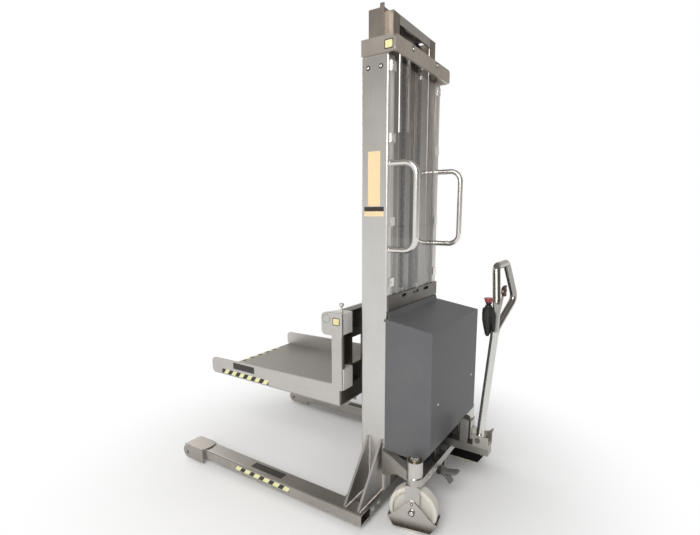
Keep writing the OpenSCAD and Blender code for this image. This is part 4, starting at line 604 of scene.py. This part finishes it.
def button_head(shape, matrix, width, height):
    """A domed screw head with a recess for the key."""
    r = width / 2
    turned(shape, matrix, (0, height * 0.35), (r * 0.42, height * 0.35), (r * 0.46, height * 0.93),
        (r * 0.56, height), (r * 0.74, height * 0.86), (r * 0.92, height * 0.52),
        (r, height * 0.12), (r * 0.98, 0), (0, 0))


def hexagon_bolt(shape, matrix, across, height):
    """A hexagon head on its washer."""
    washer = 0.0012
    turned(shape, matrix, (0, 0), (across * 0.86, 0), (across * 0.88, washer * 0.5),
        (across * 0.84, washer), (0, washer))
    hexagon(shape, matrix, across, washer, height)


def pointing(way, origin):
    """The matrix that turns the local Z axis to a direction at a point."""
    return Matrix.Translation(origin) @ Vector(way).to_track_quat("Z", "Y").to_matrix().to_4x4()


def rearward(side, place):
    """The matrix for a screw that is driven in from the rear, on the left or the right side."""
    x, y, z = place
    return pointing((0, -1, 0), mast_point(side * x, y, z))


def shadow_ring(shape, matrix, width, thick=0.0006):
    """A flat near-black ring under a screw head, painted shade for the gap round the head."""
    turned(shape, matrix, (0, 0), (width / 2, 0), (width / 2, thick), (0, thick))


upright_screws = [(upright_face, y, 1847) for y in (34.5, 91.5)]
collar_screw, cover_screw = (118, -37, 1932.2), (205, -218, 518)
base_bolts = [(x, -3, 60) for x in (314, 364)]
strap_bolts = [(x, -211, 222) for x in (193, 256)]
clip_screws = [(229, -7, z) for z in (1009.5, 1258.5, 1583.5, 1848.5)]
chain_x, rod_y, clevis_size, clevis_z = 75, 24.2, (0.016, 0.014, 0.020), 0.956
nut_across, nut_heights = 0.0185, ((0.892, 0.899), (0.8995, 0.906))
rod_low, rod_high, thread_pitch, thread_r, thread_root = 0.886, 0.947, 0.0018, 0.0060, 0.0053
thread_turns = 34
threads = []
for i in range(thread_turns):
    crest = rod_low + i * thread_pitch
    threads += [(thread_r, crest), (thread_root, crest + thread_pitch / 2)]
bolts, rings = bmesh.new(), bmesh.new()
for side in (-1, 1):
    for x, y, z in upright_screws:
        head = pointing((side, 0, 0), mast_point(side * x, y, z))
        button_head(bolts, head, 0.012, 0.004)
        shadow_ring(rings, head, 0.0195)
    button_head(bolts, rearward(side, collar_screw), 0.013, 0.004)
    shadow_ring(rings, rearward(side, collar_screw), 0.021)
    button_head(bolts, rearward(side, cover_screw), 0.011, 0.002)
    for place in base_bolts:
        hexagon_bolt(bolts, rearward(side, place), 0.013, 0.006)
    for place in strap_bolts:
        hexagon_bolt(bolts, rearward(side, place), 0.013, 0.005)
    for place in clip_screws:
        button_head(bolts, rearward(side, place), 0.009, 0.002)
    rod_end = Matrix.Translation(mast_point(side * chain_x, rod_y, 0))
    turned(bolts, rod_end, (0, rod_low), *threads, (thread_root, rod_high), (0, rod_high), steps=12)
    for nut_low, nut_high in nut_heights:
        hexagon(bolts, rod_end, nut_across, nut_low, nut_high)
    clevis = bmesh.new()
    bmesh.ops.create_cube(clevis, size=1)
    bmesh.ops.scale(clevis, vec=clevis_size, verts=clevis.verts)
    bmesh.ops.bevel(clevis, geom=clevis.edges[:], offset=0.0015, affect="EDGES", segments=2,
        profile=0.5, material=-1)
    join(bolts, clevis, rod_end @ Matrix.Translation((0, 0, clevis_z)))
fasteners = piece("bolts", bolts, bright_steel, "chassis")
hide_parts("fasteners")
# Near-black rings under the screw heads and at the axle ends: painted shade for the gaps round them.
ring_shade_finish = Finish("painted_shade_rings", Specular_IOR_Level=0.3)
ring_shade_finish.set(Base_Color=ring_shade_finish.mix(ring_shade_finish.noise(300, 3), (0.030, 0.028, 0.026), (0.055, 0.05, 0.045)),
    Roughness=0.6 + ring_shade_finish.noise(200, 3) * 0.2)
piece("washer_shade_rings", rings, ring_shade_finish.material, "chassis")


# Inner mast: stainless channels with a brownish film of grease, a head and a dull foot tie
# welded between them, and the chromed piston rod that lifts them.
def rail_painted_shade(steel, base, rough):
    """The front and rear faces of the channels are darkened brown as painted shade."""
    rails = steel.facing_out("Y").size() > 0.7
    return steel.mix(rails * 0.65, base, (0.14, 0.105, 0.08)), rough


inner_steel = stainless("inner_stainless", (0.46, 0.425, 0.385), "Z", 0.36, 0.10, 0.45,
    local=rail_painted_shade)
dress(inner_steel, "inner_upright_left", "inner_upright_right")
head_steel = stainless("head_stainless", (0.44, 0.42, 0.39), "X", 0.40, 0.1, 0.4)
dress(head_steel, "mast_head")
dress(dull_steel, "foot_tie", "chain_wheel_pins")
rod = Finish("hard_chrome", Metallic=1.0)
film = rod.noise(12, 3, 0.5, (1, 1, 0.1))
rod.set(Base_Color=rod.mix(film, (0.70, 0.70, 0.71), (0.52, 0.50, 0.47)), Roughness=0.10 + film * 0.1)
dress(rod.material, "lift_rod")

# Leaf chains, wheels and rollers: dark steel link plates, laced eight across, on riveted pins
# under a film of oil. Each chain runs from the tie plate over a wheel of dark steel down to the
# carriage. The rollers that guide the mast are dark nylon.
oily = Finish("oiled_chain", Metallic=1.0)
grease = oily.noise(90, 4, 0.6)
oily.set(Base_Color=oily.mix(oily.step(grease, 0.3, 0.7), (0.22, 0.21, 0.19), (0.085, 0.075, 0.062)),
    Roughness=0.30 + grease * 0.25)
link_pitch, link_r = 0.019, 0.0058


def leaf_chain(shape, x, path):
    """Links from point to point of a path of (Y, Z) places, with a pin at each point."""
    lanes, lane_pitch, first_lane = 8, 0.002, -0.0079
    link_t, pin_r, pin_length = 0.0018, 0.0026, 0.0174
    for i, (here, there) in enumerate(zip(path, path[1:])):
        run = Vector(there) - Vector(here)
        way = Matrix.Translation((x, *here)) @ Matrix.Rotation(math.atan2(-run[0], run[1]), 4, "X")
        link = bmesh.new()
        for lane in range(i % 2, lanes, 2):
            rim = []
            for start, middle in ((0, run.length), (180, 0)):
                for turn in range(start, start + 181, 45):
                    angle = math.radians(turn)
                    rim.append(link.verts.new((lane * lane_pitch + first_lane,
                        math.cos(angle) * link_r, middle + math.sin(angle) * link_r)))
            link.faces.new(rim)
        sides = bmesh.ops.extrude_face_region(link, geom=link.faces[:])
        bmesh.ops.translate(link, vec=(link_t, 0, 0),
            verts=[v for v in sides["geom"] if isinstance(v, bmesh.types.BMVert)])
        bmesh.ops.recalc_face_normals(link, faces=link.faces)
        join(shape, link, way)
        rivet = bmesh.new()
        bmesh.ops.create_cone(rivet, cap_ends=True, segments=8, radius1=pin_r, radius2=pin_r,
            depth=pin_length)
        join(shape, rivet, way @ Matrix.Rotation(math.pi / 2, 4, "Y"))


def straight(y, low, high):
    """The path of an upright strand, with links as near the pitch as fit."""
    count = round((high - low) / link_pitch)
    return [(y, low + (high - low) * i / count) for i in range(count + 1)]


rear_low, rear_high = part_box("rear_chains")
front_low, front_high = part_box("front_chains")
chain_rear = (rear_low.y + rear_high.y) / 2
chain_front = (front_low.y + front_high.y) / 2
wheel_y, wheel_z = (chain_rear + chain_front) / 2, rear_high.z
turn_r = (chain_front - chain_rear) / 2
links_over = 6
over = []
for i in range(links_over + 1):
    angle = math.pi * i / links_over
    over.append((wheel_y - turn_r * math.cos(angle), wheel_z + turn_r * math.sin(angle)))
rear_strands, front_strands, top_links = bmesh.new(), bmesh.new(), bmesh.new()
for side in (-1, 1):
    x = side * chain_x / 1000
    leaf_chain(rear_strands, x, straight(chain_rear, rear_low.z, wheel_z))
    leaf_chain(front_strands, x, straight(chain_front, front_low.z, wheel_z))
    leaf_chain(top_links, x, over)
rear_strands = piece("rear_strands", rear_strands, oily.material, None)
front_strands = piece("front_strands", front_strands, oily.material, None)
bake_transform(rear_strands)
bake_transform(front_strands)
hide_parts("rear_chains")
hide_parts("front_chains")
top_links = piece("top_links", top_links, oily.material, "inner_mast")
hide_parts("chain_tops")
dress(stainless("wheel_steel", (0.16, 0.155, 0.15), "X", 0.35), "chain_wheels")
roller_nylon = Finish("dark_nylon", Specular_IOR_Level=0.4)
track = roller_nylon.noise(60, 4, 0.6)
roller_nylon.set(Base_Color=roller_nylon.mix(track, (0.055, 0.055, 0.058), (0.10, 0.098, 0.095)),
    Roughness=0.45 + track * 0.2)
dress(roller_nylon.material, "mast_rollers", "upper_rollers", "lower_rollers")


# Carriage: two channel beams with solid blocks on their ends, welded to the roller plates
# that run in the inner mast. The platform's heads hang on a turned shaft across it.
def blasted_blocks(steel, base, rough):
    """The end blocks are blasted to a pale matt grey; the channels between are darkened as painted
    shade of their recess.
    """
    block_x, top_low, foot_low, foot_high = 0.2268, 0.7715, 0.5185, 0.6165
    channel_shade_tint, blasted = (0.45, 0.43, 0.40), (0.72, 0.72, 0.70)
    height = steel.axis("Z")
    in_block = (height > top_low) + (height > foot_low) * (height < foot_high)
    blocks = (steel.axis("X").size() > block_x) * in_block
    steel.set(Metallic=1 - blocks * 0.75)
    return steel.mix(blocks, steel.shade(base, channel_shade_tint), blasted), rough + blocks * 0.2


beam_steel = stainless("beam_stainless", (0.50, 0.49, 0.46), "Z", 0.38, 0.08, 0.25,
    local=blasted_blocks)
dress(beam_steel, "carriage_beams")
dress(stainless("roller_frame_steel", (0.17, 0.165, 0.155), "Z", 0.45), "roller_frame")
dress(stainless("shaft_steel", (0.55, 0.54, 0.51), "X", 0.28), "platform_shaft")

# Platform: a matt deck plate between two laser-cut side plates, each with a hook head over
# the shaft. Striped tape marks the deck's front edge and both sides.
side_steel = stainless("side_plate_stainless", (0.60, 0.58, 0.555), "Y", 0.44, 0.04, 0.10)
dress(side_steel, "side_plate_left", "side_plate_right")
deck_steel = stainless("deck_stainless", (0.46, 0.445, 0.42), "Y", 0.50, 0.04, 0.10)
dress(deck_steel, "platform_deck")
deck_z, side_x = 452, 308
deck_tape = bmesh.new()
plate(deck_tape, facing((1, 0, 0), (0, 1, 0), mast_point(36, 1024.5, deck_z)), 0.322, 0.016,
    0.0003, 0.001)
piece("deck_tape", deck_tape, tape("deck_tape_vinyl", "X", 0.062, 0.9), "carriage")
for side, name in ((-1, "left"), (1, "right")):
    side_tape = bmesh.new()
    plate(side_tape, facing((0, side, 0), (0, 0, 1), mast_point(side * side_x, 802, 464)),
        0.336, 0.024, 0.0003, 0.001)
    piece("side_tape_" + name, side_tape, tape("side_tape_" + name, "Y", 0.056, 0.75),
        "carriage")
    side_print = bmesh.new()
    plate(side_print, facing((0, side, 0), (0, 0, 1), mast_point(side * side_x, 806, 507)),
        0.152, 0.034, 0.0003, 0.002)
    piece("side_plate_print_" + name, side_print, dark_print.material, "carriage")

# Lock plungers: turned stainless knobs on a sprung pin. One stands in each end of the
# carriage's top beam, and is pulled up against its spring.
dress(bright_steel, "lock_plunger_left", "lock_plunger_right")

# Casters: welded stainless forks that swivel in bronze bushes, toe guards of bent plate, and
# wheels turned from cast white nylon on an axle whose ends are dished and polished.
fork_steel = stainless("fork_stainless", (0.56, 0.545, 0.515), "Z", 0.32, 0.08, 0.25, 0.2)
dress(fork_steel, "caster_fork_left", "caster_fork_right")


def skirt_shade(steel, base, rough):
    """The guards darken to brown towards their lower edge, and their inner faces are near-black as
    painted shade.
    """
    lower_edge, clean_above = 0.030, 0.078
    low = steel.step(steel.axis("Z"), lower_edge, clean_above, 1.0, 0.0)
    streaks = steel.noise(1.0, 3.0, 0.6, (260, 260, 12))
    browned = steel.mix(low * (streaks * 0.5 + 0.72), base, (0.060, 0.046, 0.036))
    inner = steel.facing_out("X") * steel.axis("X") < -0.12
    return steel.mix(inner, browned, (0.02, 0.019, 0.018)), rough + inner * 0.3


guard_steel = stainless("toe_guard_stainless", (0.60, 0.565, 0.53), "Y", 0.30, 0.08, 0.35, 0.3,
    skirt_shade)
dress(guard_steel, "toe_guard_left", "toe_guard_right")
axle_half, guard_half, guard_screw_z = 0.0430, 0.0410, 138
for side, name, swivel in ((-1, "left", 11), (1, "right", 0)):
    wheel_centre = mast_point(side * stem_x, stem_y, axle_z)
    wheel_nylon = cast_nylon("wheel_nylon_" + name, (0.66, 0.635, 0.57), wheel_centre, 0.22)
    dress(wheel_nylon, "caster_wheel_" + name)
    turn = math.radians(swivel)
    out = Vector((math.cos(turn), math.sin(turn), 0))
    axle_ends, axle_shadow_rings = bmesh.new(), bmesh.new()
    for way in (-1, 1):
        cap = pointing(out * way, wheel_centre + out * way * axle_half)
        turned(axle_ends, cap, (0, 0.0012), (0.0040, 0.0012), (0.0046, 0.0019), (0.0088, 0.0019),
            (0.0096, 0.0012), (0.0098, 0), (0, 0))
        # Near-black rings under the axle caps and the guard screws: painted shade for the recesses
        # round them.
        shadow_ring(axle_shadow_rings, cap, 0.0270)
        above = mast_point(side * stem_x, stem_y, guard_screw_z)
        top = pointing(out * way, above + out * way * guard_half)
        button_head(axle_ends, top, 0.0070, 0.0014)
        shadow_ring(axle_shadow_rings, top, 0.0115, 0.0004)
    piece("axle_ends_" + name, axle_ends, bright_steel, "swivel_" + name)
    piece("axle_rings_" + name, axle_shadow_rings, ring_shade_finish.material, "swivel_" + name)


# Tiller: polished stainless tube with a closed handle loop. A black moulded switch housing is
# clamped on its neck, with a red stop button and a brown thumb rocker.
def loop_polish(steel, base, rough):
    """The loop above the neck is buffed brighter than the brushed tube and mirrors the room. Its
    colour also carries dark and bright streaks of painted reflection.
    """
    neck_low, neck_high = 0.800, 0.812
    above = steel.step(steel.axis("Z"), neck_low, neck_high)
    reflection_streaks = steel.noise(1.0, 3.0, 0.6, (90, 90, 8))
    buffed = steel.mix(reflection_streaks, (0.27, 0.26, 0.24), (0.48, 0.465, 0.435))
    return steel.mix(above, base, buffed), rough * (1 - above * 0.5)


tube_steel = stainless("tiller_stainless", (0.68, 0.675, 0.64), "Z", 0.26, 0.05, 0.12,
    local=loop_polish)
dress(tube_steel, "tiller")
dress(black.material, "switch_housing")
low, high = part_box("stop_button")
wide, tall = (high.x - low.x) / 2, high.z - low.z
foot = Matrix.Translation(((low.x + high.x) / 2, (low.y + high.y) / 2, low.z))
cap, neck = bmesh.new(), bmesh.new()
cap_profile = ((0, 0.65), (0.74, 0.65), (0.78, 0.67), (0.81, 0.82), (0.95, 0.90), (0.999, 0.94),
    (0.98, 0.98), (0.90, 0.999), (0.35, 0.99), (0, 0.985))
neck_profile = ((0, 0), (0.42, 0), (0.42, 0.50), (0.60, 0.50), (0.64, 0.52), (0.64, 0.66), (0, 0.66))
turned(cap, foot, *[(wide * r, tall * z) for r, z in cap_profile], steps=48)
turned(neck, foot, *[(wide * r, tall * z) for r, z in neck_profile], steps=36)
stop = Finish("red_stop_button", Specular_IOR_Level=0.5, Coat_Weight=0.3, Coat_Roughness=0.15)
worn_red = stop.noise(60, 4)
stop.set(Base_Color=stop.mix(worn_red, (0.44, 0.060, 0.070), (0.34, 0.055, 0.062)),
    Roughness=0.32 + worn_red * 0.15, Normal=stop.bump(stop.noise(700, 2), 0.00005, 0.3))
stop_cap = piece("stop_cap", cap, stop.material, "stop_button", True)
piece("stop_neck", neck, black.material, "stop_button", True)
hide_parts("stop_button")
rocker = Finish("brown_rocker", Specular_IOR_Level=0.45)
handled = rocker.noise(80, 4)
rocker.set(Base_Color=rocker.mix(handled, (0.045, 0.022, 0.018), (0.085, 0.040, 0.032)),
    Roughness=0.4 + handled * 0.2, Normal=rocker.bump(rocker.noise(900, 2), 0.0001, 0.4))
dress(rocker.material, "thumb_rocker")

# Foot brake: a two-toed pedal, cast in one piece and painted dark grey, that tips on a pin
# between the lugs of the rear strap.
cast = Finish("cast_pedal", Specular_IOR_Level=0.4, Metallic=0.3)
rough_skin = cast.noise(240, 5, 0.7)
cast.set(Base_Color=cast.mix(rough_skin, (0.13, 0.132, 0.13), (0.24, 0.24, 0.232)),
    Roughness=0.5 + rough_skin * 0.2, Normal=cast.bump(rough_skin, 0.0006, 0.5))
dress(cast.material, "brake_pedal")
